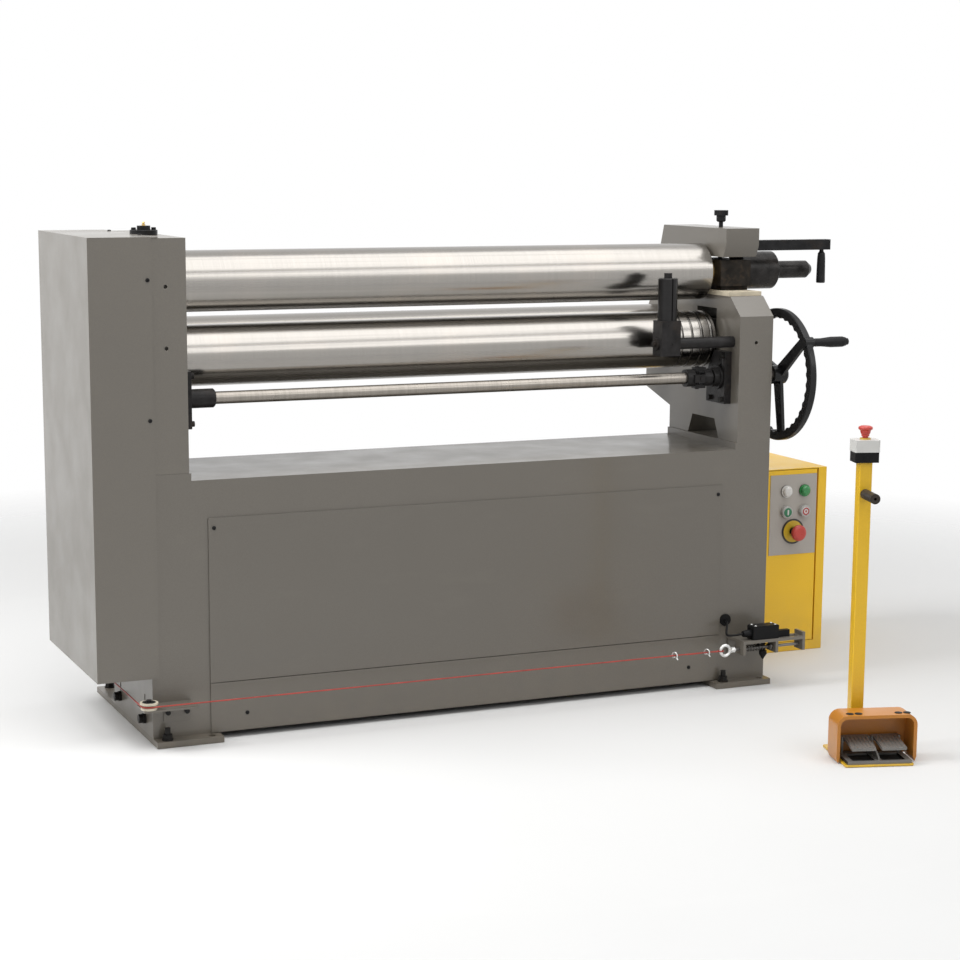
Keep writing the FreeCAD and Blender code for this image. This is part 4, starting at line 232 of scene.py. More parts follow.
def draw_tail(drawn):
    """The wire's loop through the eye of the rod, and its end folded back beside it as far as the second clip, not
    quite straight."""
    loop_x, half_long, half_wide = 0.5345, 0.0062, 0.0056
    step = math.pi / 12
    loop = [Vector((loop_x + half_long * math.cos(step * k), WIRE_Y + half_wide * math.sin(step * k), WIRE_Z))
            for k in range(24)]
    sweep(drawn, loop, WIRE_THICK / 2, closed=True)
    tail_end, tail_y, tail_z, run = 0.415, -0.2901, 0.0985, 0.0058
    tail = [Vector((tail_end + run * k, tail_y + 0.0003 * math.sin(k * 0.9), tail_z + 0.0004 * math.sin(k * 0.6)))
            for k in range(20)]
    sweep(drawn, tail, WIRE_THICK / 2)


wire_tail = new_piece("trip_wire_tail", draw_tail, red_coat)
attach(wire_tail, "trip_line")


def draw_clips(drawn):
    """Two sprung ring clips, each an open ring of zinc wire round the doubled wire, with a turned-out foot and three
    short bars as a saddle under it."""
    clip_y, ring_z, steps = -0.2885, 0.0988, 32
    ring_bar, saddle_bar = 0.0015, 0.0011
    for x in (0.496, 0.412):
        open_ring = []
        for k in range(steps + 1):
            t = math.radians(-60 + 300 * k / steps)
            open_ring.append(Vector((x - 0.0020 * math.cos(t) + 0.0030 * k / steps,
                                     clip_y + 0.0062 * math.cos(t), ring_z + 0.0068 * math.sin(t))))
        foot = open_ring[-1]
        open_ring += [foot + Vector((0.0008 * k, -0.0012 * k, -0.0012 * k)) for k in (1, 2, 3)]
        sweep(drawn, open_ring, ring_bar)
        for t in (math.radians(degrees) for degrees in (235, 270, 305)):
            saddle = [Vector((x - 0.002 + 0.001 * m, clip_y + 0.0040 * math.cos(t), WIRE_Z + 0.0034 * math.sin(t)))
                      for m in range(5)]
            sweep(drawn, saddle, saddle_bar, around=8)


wire_clips = new_piece("trip_wire_clips", draw_clips, zinc)
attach(wire_clips, "trip_line")

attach(trip_line, "trip_line")
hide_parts("trip_wire")

# ---- Switch lead
# A round black rubber lead, 5.2 mm thick. It leaves the base through a grommet, hangs in a short loop
# and goes into the gland of the trip switch.
LEAD_THICK, LEAD_LENGTH = 0.0052, 0.1094
lead_sheath = moulded("lead_sheath", (0.010, 0.010, 0.010), 0.42, grain=700, depth=0.00004, wear=0.3, shine=0.12)
lead_points = [(0.580, -0.219, 0.155), (0.577, -0.243, 0.155), (0.564, -0.261, 0.142),
               (0.554, -0.276, 0.131), (0.562, -0.287, 0.131), (0.592, -0.287, 0.133)]
lead = lay_cord("switch_lead_line", lead_points, LEAD_THICK, lead_sheath)
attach(lead, "frame")
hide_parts("switch_lead")

# ---- Studio
# A white surround, a pale floor and three soft boxes: a wide one overhead, a square one high on the left
# and a wide one high in front, to the right. The surround is dimmer as a light than it looks.
world = bpy.data.worlds.new("studio")
bpy.context.scene.world = world
world.use_nodes = True
sky = world.node_tree
ray = sky.nodes.new("ShaderNodeLightPath")
straight = sky.nodes.new("ShaderNodeMath")
straight.operation = "MAXIMUM"
sky.links.new(ray.outputs["Is Camera Ray"], straight.inputs[0])
sky.links.new(ray.outputs["Is Transmission Ray"], straight.inputs[1])
seen = sky.nodes.new("ShaderNodeMath")
seen.operation = "MAXIMUM"
sky.links.new(straight.outputs[0], seen.inputs[0])
sky.links.new(ray.outputs["Is Glossy Ray"], seen.inputs[1])
strength = sky.nodes.new("ShaderNodeMapRange")
AS_LIGHT, AS_SEEN = 0.34, 1.0
strength.inputs["To Min"].default_value = AS_LIGHT
strength.inputs["To Max"].default_value = AS_SEEN
sky.links.new(seen.outputs[0], strength.inputs["Value"])
sky.links.new(strength.outputs[0], sky.nodes["Background"].inputs["Strength"])
sky.nodes["Background"].inputs["Color"].default_value = (1, 1, 1, 1)


def soft_box(name, place, aim, width, height, watts):
    """A rectangular lamp, which the camera doesn't see, turned towards what it is aimed at."""
    lamp = bpy.data.objects.new(name, bpy.data.lights.new(name, "AREA"))
    bpy.context.scene.collection.objects.link(lamp)
    lamp.data.shape = "RECTANGLE"
    lamp.data.size, lamp.data.size_y, lamp.data.energy = width, height, watts
    lamp.location = place
    lamp.rotation_euler = (Vector(aim) - Vector(place)).to_track_quat("-Z", "Y").to_euler()
    lamp.visible_camera = False


soft_box("overhead_box", (0.2, -0.9, 3.4), (0, -0.1, 0.6), 4.4, 3.0, 85)
soft_box("left_box", (-2.7, 0.2, 2.7), (-0.9, 0, 0.9), 1.6, 1.6, 84)
soft_box("front_box", (1.9, -4.4, 2.9), (0.1, 0, 0.7), 3.8, 1.7, 42)

FLOOR_HALF, FLOOR_DROP = 30, 0.0008
FADE_START, FADE_END = 1.5, 3.3
floor = bpy.data.objects.new("studio_floor", bpy.data.meshes.new("studio_floor"))
bpy.context.scene.collection.objects.link(floor)
floor_corners = [(x * FLOOR_HALF, y * FLOOR_HALF, -FLOOR_DROP) for x, y in ((-1, -1), (1, -1), (1, 1), (-1, 1))]
floor.data.from_pydata(floor_corners, [], [(0, 1, 2, 3)])
pale, tree, shader = new_finish("pale_floor", 0.9)
tree.links.new(stain(tree, cloud(tree, 2, 3), (0.75, 0.75, 0.745), (0.78, 0.78, 0.775)), shader.inputs["Base Color"])
spot = tree.nodes.new("ShaderNodeTexCoord")
far = tree.nodes.new("ShaderNodeVectorMath")
far.operation = "LENGTH"
tree.links.new(spot.outputs["Object"], far.inputs[0])
clear = tree.nodes.new("ShaderNodeBsdfTransparent")
edge = tree.nodes.new("ShaderNodeMixShader")
tree.links.new(span(tree, far.outputs["Value"], 0, 1, FADE_START, FADE_END), edge.inputs["Fac"])
tree.links.new(shader.outputs["BSDF"], edge.inputs[1])
tree.links.new(clear.outputs["BSDF"], edge.inputs[2])
tree.links.new(edge.outputs["Shader"], tree.nodes["Material Output"].inputs["Surface"])
floor.data.materials.append(pale)
bpy.context.scene.view_settings.view_transform = "Standard"

# ---- Base cabinet
# A welded box of 6 mm sheet with a folded table top and two raised pads for the stands. It is sprayed with
# a warm grey gloss enamel that shows a fine orange peel; floor dust gathers low down on it.
DUST_TOP, DUST_BROWN = 0.16, (0.17, 0.145, 0.11)


def enamel(name, colour, gloss=0.36, drift=0.05, grain=0.07, peel=0.00005, soil=0.0, scuff=0.25, coat=0.45):
    """Sprayed enamel: slow drifts of tone, a fine salt-and-pepper grain, orange peel, rubbed streaks, and floor dust
    where soil asks for it."""
    made, tree, shader = new_finish(name, gloss)
    shader.inputs["Coat Weight"].default_value = coat
    shader.inputs["Coat Roughness"].default_value = 0.14
    slow = span(tree, cloud(tree, 2.6, 4), 0, 1)
    tone = stain(tree, slow, shade(colour, 1 - drift), shade(colour, 1 + drift))
    salt = span(tree, cloud(tree, 620, 2), 0, 1, 0.38, 0.62)
    tone = stain(tree, salt, shade(colour, 1 - grain), tone)
    rub = span(tree, cloud(tree, 7, 7, (1, 1, 3.2), 5), 0, scuff, 0.60, 0.74)
    tone = stain(tree, rub, tone, shade(colour, 1.32))
    if soil:
        spot = tree.nodes.new("ShaderNodeTexCoord")
        split = tree.nodes.new("ShaderNodeSeparateXYZ")
        tree.links.new(spot.outputs["Object"], split.inputs[0])
        near = span(tree, split.outputs["Z"], soil, 0, 0.0, DUST_TOP)
        patchy = tree.nodes.new("ShaderNodeMath")
        patchy.operation = "MULTIPLY"
        tree.links.new(near, patchy.inputs[0])
        tree.links.new(span(tree, cloud(tree, 24, 6, shift=9), 0.35, 1), patchy.inputs[1])
        tone = stain(tree, patchy.outputs[0], tone, DUST_BROWN)
    tree.links.new(tone, shader.inputs["Base Color"])
    worn = span(tree, cloud(tree, 9, 6), gloss - 0.05, gloss + 0.12)
    tree.links.new(worn, shader.inputs["Roughness"])
    relief(tree, shader, (cloud(tree, 240, 2), peel), (cloud(tree, 900, 2), peel * 0.3))
    return made


WELD_WITHIN, FLAT_WITHIN, EDGE_OVER = 0.00002, math.radians(0.4), math.radians(38)


def dress(node, finish, edge=0.0, segments=2):
    """Gives a piece its finish and, where edge is more than 0, softly broken edges. Its flat faces are made whole
    first, since a broken edge tears a face that is cut into triangles."""
    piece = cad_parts[node]
    piece.data.materials.clear()
    piece.data.materials.append(finish)
    piece.data.polygons.foreach_set("material_index", [0] * len(piece.data.polygons))
    if edge:
        weld = piece.modifiers.new("weld", "WELD")
        weld.merge_threshold = WELD_WITHIN
        flat = piece.modifiers.new("flats", "DECIMATE")
        flat.decimate_type = "DISSOLVE"
        flat.angle_limit = FLAT_WITHIN
        bevel = piece.modifiers.new("edges", "BEVEL")
        bevel.width, bevel.segments = edge, segments
        bevel.limit_method, bevel.angle_limit = "ANGLE", EDGE_OVER
        bevel.use_clamp_overlap = True
        even = piece.modifiers.new("even_shading", "WEIGHTED_NORMAL")
        even.weight = 90
        even.keep_sharp = False
    return piece


def touch_up(piece, finish, inside):
    """Another finish on the faces whose middle, in millimetres, lies inside."""
    piece.data.materials.append(finish)
    last = len(piece.data.materials) - 1
    for face in piece.data.polygons:
        middle = face.center * 1000
        if inside(middle):
            face.material_index = last


GREY = (0.140, 0.126, 0.105)
base_grey = enamel("base_grey_enamel", GREY, soil=0.55, scuff=0.15)
dress("base_cabinet", base_grey, 0.0018)

# ---- Access panel and skirt
# Two sheets of 3 mm steel that close the front of the base, sprayed in a grey a little darker than it. Blackened
# button-head screws hold them and the gear cover, with hexagon sockets sunk into their heads.
panel_grey = enamel("panel_grey_enamel", shade(GREY, 0.95), soil=0.5, scuff=0.12)
dress("front_panels", panel_grey, 0.0007)
RUST_BROWN = (0.11, 0.07, 0.04)


def black_oxide(name, colour=(0.013, 0.013, 0.0135), gloss=0.38, rust=0.12, depth=0.00006):
    """Blackened steel: a thin dark skin over the machined metal, oily and brownish in patches."""
    made, tree, shader = new_finish(name, gloss, 0.12)
    shader.inputs["Specular IOR Level"].default_value = 0.14
    tone = stain(tree, span(tree, cloud(tree, 45, 5), 0, 1), shade(colour, 0.75), shade(colour, 1.7))
    tone = stain(tree, span(tree, cloud(tree, 28, 6, shift=4), 0, rust, 0.55, 0.75), tone, RUST_BROWN)
    tree.links.new(tone, shader.inputs["Base Color"])
    tree.links.new(span(tree, cloud(tree, 70, 5, shift=2), gloss - 0.08, gloss + 0.14), shader.inputs["Roughness"])
    relief(tree, shader, (cloud(tree, 500, 3), depth))
    return made


FRONT, TOP = (0, -1, 0), (0, 0, 1)
SOCKET_ACROSS, SOCKET_DEPTH = 3, 1.9


def cut_sockets(node, screws):
    """Hexagon sockets sunk into screw heads, each from the way its screw faces and its place in millimetres."""
    cutter = bmesh.new()
    for facing, place in screws:
        facing = Vector(facing)
        one = facing.orthogonal().normalized()
        two = facing.cross(one)
        reach = SOCKET_ACROSS / math.sqrt(3)
        rings = [[cutter.verts.new((Vector(place) + facing * along
                                    + (one * math.cos(t) + two * math.sin(t)) * reach) / 1000)
                  for t in (math.pi / 3 * k for k in range(6))] for along in (-SOCKET_DEPTH, 1.0)]
        for k in range(6):
            cutter.faces.new((rings[0][k], rings[0][(k + 1) % 6], rings[1][(k + 1) % 6], rings[1][k]))
        cutter.faces.new(list(reversed(rings[0])))
        cutter.faces.new(rings[1])
    bmesh.ops.recalc_face_normals(cutter, faces=cutter.faces)
    shape = bpy.data.meshes.new(f"{node}_socket_tool")
    cutter.to_mesh(shape)
    cutter.free()
    tool = bpy.data.objects.new(f"{node}_socket_tool", shape)
    bpy.context.scene.collection.objects.link(tool)
    tool.hide_render = tool.hide_viewport = True
    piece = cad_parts[node]
    weld = piece.modifiers.new("weld", "WELD")
    weld.merge_threshold = WELD_WITHIN
    sink = piece.modifiers.new("sockets", "BOOLEAN")
    sink.operation, sink.solver, sink.object = "DIFFERENCE", "EXACT", tool


screw_black = black_oxide("blackened_screws", gloss=0.42)
dress("panel_screws", screw_black)
cut_sockets("panel_screws", [
    (FRONT, (-650, -231, 452)), (FRONT, (552, -231, 452)), (FRONT, (-582.5, -231, 51)), (FRONT, (484.5, -231, 51)),
    (FRONT, (-781, -229.5, 966)), (FRONT, (-781, -229.5, 681)),
    (TOP, (-766, -115, 1054.5)), (TOP, (-766, 135, 1054.5))])

# ---- Feet and their bolts
# Each foot is a floor plate with upright lugs, flame cut and painted with the base. Levelling bolts go down
# through the plates and black hexagon bolts hold the base walls to the lugs.
foot_grey = enamel("foot_grey_enamel", shade(GREY, 0.84), gloss=0.46, drift=0.12, peel=0.00012, soil=0.9, scuff=0.5)
dress("feet", foot_grey, 0.0014)
bolt_black = black_oxide("blackened_bolts", colour=(0.014, 0.013, 0.012), gloss=0.46, rust=0.3)
dress("frame_bolts", bolt_black)

# ---- Stands
# Two heavy box stands bolted to the pads of the base, the left one closed to full height and the right one
# open above the lower roll, where the drop end swings away. Sprayed with the base.
stand_grey = enamel("stand_grey_enamel", shade(GREY, 1.04), scuff=0.15)
dress("left_stand", stand_grey, 0.0014)
dress("right_stand", stand_grey, 0.0014)

# ---- Pivot cap
# The black two-step cap over the upper roll's left bearing pivot, turned from bar, with a brass grease
# nipple in its middle and two socket screws through its flange.
CAP_Y, CAP_FLANGE_TOP, NIPPLE_FOOT = -52.5, 1060.5, 1069.05
cap = dress("pivot_cap", black_oxide("cap_black", gloss=0.3))


def turned_metal(name, colour, low_gloss, high_gloss, rings, axis, depth=0.00002, metal=1.0):
    """Bare metal from the lathe: fine rings along the axis, clouds of handling and a little oil."""
    made, tree, shader = new_finish(name, low_gloss, metal)
    dense = tuple(rings if k == axis else 4 for k in range(3))
    ring = cloud(tree, 1, 3, dense)
    tone = stain(tree, span(tree, ring, 0, 1), shade(colour, 0.84), colour)
    tone = stain(tree, span(tree, cloud(tree, 30, 5), 0, 0.35, 0.5, 0.8), tone, shade(colour, 0.55))
    tree.links.new(tone, shader.inputs["Base Color"])
    tree.links.new(span(tree, cloud(tree, 22, 5, shift=7), low_gloss, high_gloss), shader.inputs["Roughness"])
    relief(tree, shader, (ring, depth))
    return made


nipple_brass = turned_metal("nipple_brass", (0.72, 0.50, 0.20), 0.22, 0.4, 1800, 2)
touch_up(cap, nipple_brass, lambda p: p.z > NIPPLE_FOOT)


def spin_outline(drawn, outline, centre, axis, steps):
    """Turns an outline of (along, radius) pairs in millimetres about an axis through centre. A radius of 0 closes it
    with a point."""
    axis = Vector(axis).normalized()
    one = axis.orthogonal().normalized()
    two = axis.cross(one)
    rings = []
    for along, radius in outline:
        middle = Vector(centre) + axis * along
        if radius == 0:
            rings.append([drawn.verts.new(middle / 1000)])
        else:
            rings.append([drawn.verts.new((middle + (one * math.cos(t) + two * math.sin(t)) * radius) / 1000)
                          for t in (2 * math.pi * k / steps for k in range(steps))])
    for here, there in zip(rings, rings[1:]):
        for k in range(steps):
            m = (k + 1) % steps
            if len(here) == 1 and len(there) > 1:
                drawn.faces.new((here[0], there[k], there[m]))
            elif len(there) == 1 and len(here) > 1:
                drawn.faces.new((here[k], here[m], there[0]))
            elif len(here) > 1:
                drawn.faces.new((here[k], here[m], there[m], there[k]))


def socket_head(drawn, place, facing, radius, tall):
    """A socket cap screw head: chamfered rim, and a hexagon socket with a chamfered mouth and a flat floor."""
    rim, mouth, socket, floor_at = 0.6, radius * 0.62, radius * 0.56, tall * 0.35
    spin_outline(drawn, [(0, radius), (tall - rim, radius), (tall, radius - rim), (tall, mouth)], place, facing, 36)
    facing = Vector(facing)
    one = facing.orthogonal().normalized()
    two = facing.cross(one)
    hexagon = [one * math.cos(t) + two * math.sin(t) for t in (math.pi / 3 * k for k in range(6))]
    for top, bottom in (((tall, mouth), (tall - 0.4, socket)), ((tall - 0.4, socket), (floor_at, socket))):
        upper, lower = ([drawn.verts.new((Vector(place) + facing * along + h * reach) / 1000) for h in hexagon]
                        for along, reach in (top, bottom))
        for k in range(6):
            drawn.faces.new((upper[k], lower[k], lower[(k + 1) % 6], upper[(k + 1) % 6]))
    drawn.faces.new(lower)


def draw_cap_screws(drawn):
    """The two cap screws that hold the flange down."""
    for x in (-761.5, -718.5):
        socket_head(drawn, (x, CAP_Y, CAP_FLANGE_TOP), TOP, radius=5.0, tall=5.0)


cap_screws = new_piece("pivot_cap_screws", draw_cap_screws, screw_black)
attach(cap_screws, "frame")

# ---- Gear cover
# A folded and welded sheet box that hangs on the left stand over the gear train, lapping round its front,
# top and back edges. Button-head screws hold the laps.
cover_grey = enamel("cover_grey_enamel", shade(GREY, 1.05), gloss=0.34, drift=0.03, scuff=0.05)
dress("gear_cover", cover_grey, 0.0010)

# ---- Gear train
# Three cut steel spur gears inside the cover: the pinion on the gear motor, the idler on its stud and the
# upper roll's gear. The blanks are turned, the flanks are dark with old grease.
gear_steel = turned_metal("greased_gear_steel", (0.16, 0.155, 0.15), 0.34, 0.55, 900, 0, 0.00004)
for gear in ("top_roll_gear", "idler_gear", "drive_pinion"):
    dress(gear, gear_steel)
stud_steel = turned_metal("stud_steel", (0.5, 0.49, 0.47), 0.28, 0.42, 1100, 0)
dress("idler_stud", stud_steel)

# ---- Gear motor
# A finned motor behind an in-line reducer inside the base, held by the reducer's flange on the left wall.
# Both have cast housings in the blue enamel that such units come in, a little rubbed.
motor_blue = enamel("motor_blue_enamel", (0.035, 0.085, 0.16), gloss=0.42, drift=0.15, peel=0.00012, scuff=0.4)
dress("reducer", motor_blue)
dress("drive_motor", motor_blue)

# ---- Rolls
# Three solid steel rolls, ground all over and polished. The wheel leaves very fine rings round them and wiping
# leaves faint streaks along them; the front roll has four wire grooves turned in its right end.
ROLL_STEEL, ROLL_BLOOM = (0.345, 0.328, 0.305), (0.40, 0.36, 0.32)


def ground_roll(name, dark=1.0):
    """Ground and polished steel: rings from the wheel, streaks along the roll and a warm bloom in patches."""
    made, tree, shader = new_finish(name, 0.27, 1.0)
    ring = cloud(tree, 1, 3, (1300, 5, 5))
    streak = cloud(tree, 1, 4, (1.1, 210, 210), 2)
    wide = cloud(tree, 1, 3, (0.6, 42, 42), 8)
    tone = stain(tree, span(tree, ring, 0, 1), shade(ROLL_STEEL, 0.90 * dark), shade(ROLL_STEEL, dark))
    tone = stain(tree, span(tree, streak, 0, 0.5, 0.52, 0.72), tone, shade(ROLL_STEEL, 0.80 * dark))
    bloom = span(tree, cloud(tree, 6, 6, shift=11), 0, 0.5, 0.55, 0.8)
    tone = stain(tree, bloom, tone, shade(ROLL_BLOOM, dark))
    tree.links.new(tone, shader.inputs["Base Color"])
    mixed = tree.nodes.new("ShaderNodeMath")
    mixed.operation = "ADD"
    tree.links.new(span(tree, wide, 0.17, 0.27), mixed.inputs[0])
    tree.links.new(span(tree, streak, -0.03, 0.05), mixed.inputs[1])
    tree.links.new(mixed.outputs[0], shader.inputs["Roughness"])
    relief(tree, shader, (ring, 0.000012), (streak, 0.000012))
    return made


def off_axis(p, y, z):
    """How far a place is from a line that runs along the machine."""
    return math.hypot(p.y - y, p.z - z)


roll_steel = ground_roll("ground_roll_steel")
# The front roll's grooves take the same ground steel at 0.42 of its tone: painted shade in the grooves.
shaded_groove_steel = ground_roll("shaded_groove_steel", 0.42)
ROLLS = (("upper_roll", -52.5, 952), ("front_roll", -72.5, 797), ("rear_roll", 144, 798))
GROOVES = ((577, 5), (552, 4), (527, 3.2), (502, 2.6))
GROOVE_REACH, JOURNAL_REACH = 64.5, 55
BARREL_LEFT, BARREL_RIGHT = -691, 591
for bar, mid_y, mid_z in ROLLS:
    piece = dress(bar, roll_steel)
    if bar == "front_roll":
        touch_up(piece, shaded_groove_steel, lambda p: off_axis(p, mid_y, mid_z) < GROOVE_REACH
                 and any(abs(p.x - x) < half_wide for x, half_wide in GROOVES))
    touch_up(piece, stud_steel, lambda p: off_axis(p, mid_y, mid_z) < JOURNAL_REACH
             and not BARREL_LEFT <= p.x <= BARREL_RIGHT)

# ---- Roll bearing blocks, their guides and jack screws
# Iron blocks that carry the two lower rolls and slide in the stands' windows, blackened, between bright
# ground guide plates; square-headed jack screws stand out behind for the rear roll.
block_black = black_oxide("block_black", colour=(0.018, 0.017, 0.015), gloss=0.45, rust=0.25)
dress("front_bearing_blocks", block_black, 0.0008)
dress("rear_bearing_blocks", block_black, 0.0008)
guide_steel = turned_metal("ground_guide_steel", (0.48, 0.47, 0.45), 0.3, 0.45, 700, 2)
dress("guide_plates", guide_steel, 0.0005)

# ---- Brass bushes of the upper roll
# Turned bushes, one in the left stand and one with a flange that shows between the roll and the housing.
bush_brass = turned_metal("bush_brass", (0.92, 0.60, 0.20), 0.26, 0.42, 900, 0, metal=0.3)
dress("top_roll_bushes", bush_brass, 0.0005)

# ---- Adjusting shaft
# A long bright drawn bar in front of the rolls that joins the jacks of both stands. Its collar, its two
# bearing plates and the universal joint at the right are blackened.
shaft_steel = turned_metal("drawn_shaft_steel", (0.30, 0.275, 0.245), 0.26, 0.38, 260, 0)
shaft = dress("adjusting_shaft", shaft_steel)
SHAFT_Y, SHAFT_Z, SHAFT_REACH, COLLAR_RIGHT = -159, 715, 14, -620
joint_black = black_oxide("joint_black", colour=(0.017, 0.016, 0.016), gloss=0.3)
touch_up(shaft, joint_black, lambda p: p.x < COLLAR_RIGHT and off_axis(p, SHAFT_Y, SHAFT_Z) > SHAFT_REACH)
dress("universal_joint", joint_black)
dress("shaft_bearings", joint_black, 0.0007)

# ---- Handwheel
# A cast wheel with three spokes in gloss black, held by its hub on the stub shaft, with a waisted plastic
# grip that turns on its bolt.
wheel_gloss = enamel("wheel_black_enamel", (0.008, 0.008, 0.0085), gloss=0.24, drift=0.2, grain=0.2, peel=0.00012,
                     scuff=0.15, coat=0)
wheel_gloss.node_tree.nodes["Principled BSDF"].inputs["Specular IOR Level"].default_value = 0.3
dress("handwheel", wheel_gloss)
dress("wheel_grip", moulded("grip_black", (0.016, 0.016, 0.017), 0.3, grain=800, shine=0.12))

# ---- Drop end
# The bearing housing that carries the upper roll's free end: a rough black-brown casting with a turned nose,
# on a cream seat liner that lies on the right stand. The blackened bar by which the roll is lifted stands out of it.
CAST_BROWN = (0.10, 0.068, 0.042)


def rough_casting(name, colour, gloss=0.55):
    """As cast and blackened: pitted, blotchy, brown where the skin is thin."""
    made, tree, shader = new_finish(name, gloss, 0.2)
    shader.inputs["Specular IOR Level"].default_value = 0.18
    blotch = span(tree, cloud(tree, 38, 6), 0, 1, 0.35, 0.65)
    tone = stain(tree, blotch, shade(colour, 0.6), shade(colour, 1.5))
    tone = stain(tree, span(tree, cloud(tree, 90, 5, shift=6), 0, 0.3, 0.52, 0.72), tone, CAST_BROWN)
    tree.links.new(tone, shader.inputs["Base Color"])
    tree.links.new(span(tree, cloud(tree, 80, 5), gloss - 0.12, gloss + 0.15), shader.inputs["Roughness"])
    relief(tree, shader, (cloud(tree, 160, 5), 0.0005), (cloud(tree, 650, 3), 0.0001))
    return made


NOSE_FROM, LINER_FOOT, LINER_TOP = 687.5, 899, 910.2
housing = dress("bearing_housing", rough_casting("housing_casting", (0.017, 0.014, 0.011)))
nose_steel = black_oxide("nose_black", colour=(0.026, 0.024, 0.023), gloss=0.28, rust=0.05)
touch_up(housing, nose_steel, lambda p: p.x > NOSE_FROM)
liner_cream = moulded("liner_cream", (0.60, 0.53, 0.40), 0.5, wear=0.15)
touch_up(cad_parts["guide_plates"], liner_cream, lambda p: LINER_FOOT < p.z < LINER_TOP)
dress("lifting_bar", black_oxide("lifting_bar_black", colour=(0.030, 0.028, 0.027), gloss=0.26, rust=0.06))

# ---- Yoke
# The heavy arm that is hinged at the back of the right stand and comes down over the housing, painted with
# the machine, on a bright hinge pin.
dress("yoke", enamel("yoke_grey_enamel", shade(GREY, 0.98), scuff=0.4), 0.0020, 3)
dress("yoke_pin", stud_steel)

# ---- Clamp knob and latch
# A lobed knob on the screw that clamps the yoke down, and the square latch shaft with its hanging tapered
# handle beside it, all of blackened steel.
dress("clamp_knob", black_oxide("knob_black", gloss=0.3))
dress("latch_lever", black_oxide("latch_black", gloss=0.34), 0.0006)

# ---- Cone rolling attachment
# An upright roller in a sliding block on a short bar at the right, for rolling cones: all blackened steel,
# the roller turned smooth and held by a cap screw.
cone_black = black_oxide("cone_black", colour=(0.018, 0.017, 0.017), gloss=0.34)
dress("cone_bar", cone_black)
dress("cone_block", cone_black)
dress("cone_roller", turned_metal("cone_roller_steel", (0.035, 0.034, 0.034), 0.30, 0.44, 900, 2))

# ---- Corner pulley
# A cream nylon pulley that turns the trip wire round the left front corner, under a black washer and
# pin head, on an angle bracket screwed to the front wall of the base.
PULLEY_X, PULLEY_Y, PULLEY_TOP = -807, -270.5, 105.45
PIN_SHOULDER, PIN_REACH = 90.3, 8
dress("corner_pulley", moulded("pulley_nylon", (0.56, 0.51, 0.40), 0.45, wear=0.14))
bracket_grey = enamel("bracket_grey_enamel", shade(GREY, 0.9), gloss=0.42, drift=0.1, soil=0.4, scuff=0.5)
pulley_arm = dress("pulley_bracket", bracket_grey)
touch_up(pulley_arm, screw_black,
         lambda p: p.z > PIN_SHOULDER and math.hypot(p.x - PULLEY_X, p.y - PULLEY_Y) < PIN_REACH)


def draw_washer(drawn):
    """A flat washer with its outer edges broken."""
    spin_outline(drawn, [(0, 6.3), (0, 13.4), (0.25, 13.9), (0.55, 13.9), (0.8, 13.4), (0.8, 6.3), (0, 6.3)],
                 (PULLEY_X, PULLEY_Y, PULLEY_TOP), TOP, 48)


washer = new_piece("pulley_washer", draw_washer, screw_black)
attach(washer, "frame")

# ---- Trip switch
# A black moulded limit switch on a bent bracket, with the stop peg below it. The zinc-plated spring rod
# carries the eye that the wire pulls; its spring is wound from bare steel wire.
trip_grey = enamel("trip_grey_enamel", shade(GREY, 0.98), gloss=0.42, drift=0.1, soil=0.35, scuff=0.5)
dress("trip_bracket", trip_grey, 0.0008)
switch_black = moulded("switch_black", (0.008, 0.008, 0.0085), 0.36, grain=600, depth=0.00004, shine=0.12)
switch = dress("trip_switch", switch_black)
GROMMET_FRONT, GROMMET_FOOT = -229, 135
touch_up(switch, lead_sheath, lambda p: p.y > GROMMET_FRONT and p.z > GROMMET_FOOT)
rod = dress("trip_rod", zinc)
dull_rod = turned_metal("dull_rod_steel", (0.22, 0.21, 0.2), 0.34, 0.5, 900, 0)
PLATED_END = 588
touch_up(rod, dull_rod, lambda p: p.x > PLATED_END)
SWITCH_TOP = 150.9


def draw_switch_screws(drawn):
    """Domed heads with a driver's dimple, one at each corner of the switch's cover."""
    outline = [(0, 3.1), (0.7, 3.1), (1.3, 2.4), (1.55, 1.2), (1.0, 0.9), (1.0, 0)]
    for x in (620, 672):
        for y in (-296, -278):
            spin_outline(drawn, outline, (x, y, SWITCH_TOP), TOP, 24)


switch_screws = new_piece("switch_cover_screws", draw_switch_screws, zinc)
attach(switch_screws, "frame")

SPRING_LEFT, SPRING_RIGHT, COIL_R, COIL_BAR = 591.0, 663.0, 6.5, 1.1
spring_steel = turned_metal("spring_steel", (0.085, 0.08, 0.075), 0.34, 0.5, 900, 0)


def draw_spring(drawn):
    """A compression spring: nine open turns and a closed one at each end, between the bracket and the stop disc."""
    turns, dots_a_turn, closed_share = 11, 20, 0.02
    dots = []
    for k in range(turns * dots_a_turn + 1):
        turn = k / dots_a_turn
        if turn < 1:
            along = closed_share * turn
        elif turn > turns - 1:
            along = 1 - closed_share * (turns - turn)
        else:
            along = closed_share + (1 - 2 * closed_share) * (turn - 1) / (turns - 2)
        x = SPRING_LEFT + COIL_BAR + along * (SPRING_RIGHT - SPRING_LEFT - 2 * COIL_BAR)
        t = 2 * math.pi * turn
        dots.append(Vector((x, WIRE_Y * 1000 + COIL_R * math.cos(t), WIRE_Z * 1000 + COIL_R * math.sin(t))) / 1000)
    sweep(drawn, dots, COIL_BAR / 1000, around=10)


trip_spring = new_piece("trip_spring_coil", draw_spring, spring_steel)
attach(trip_spring, "frame")
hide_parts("trip_spring")
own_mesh(trip_spring)

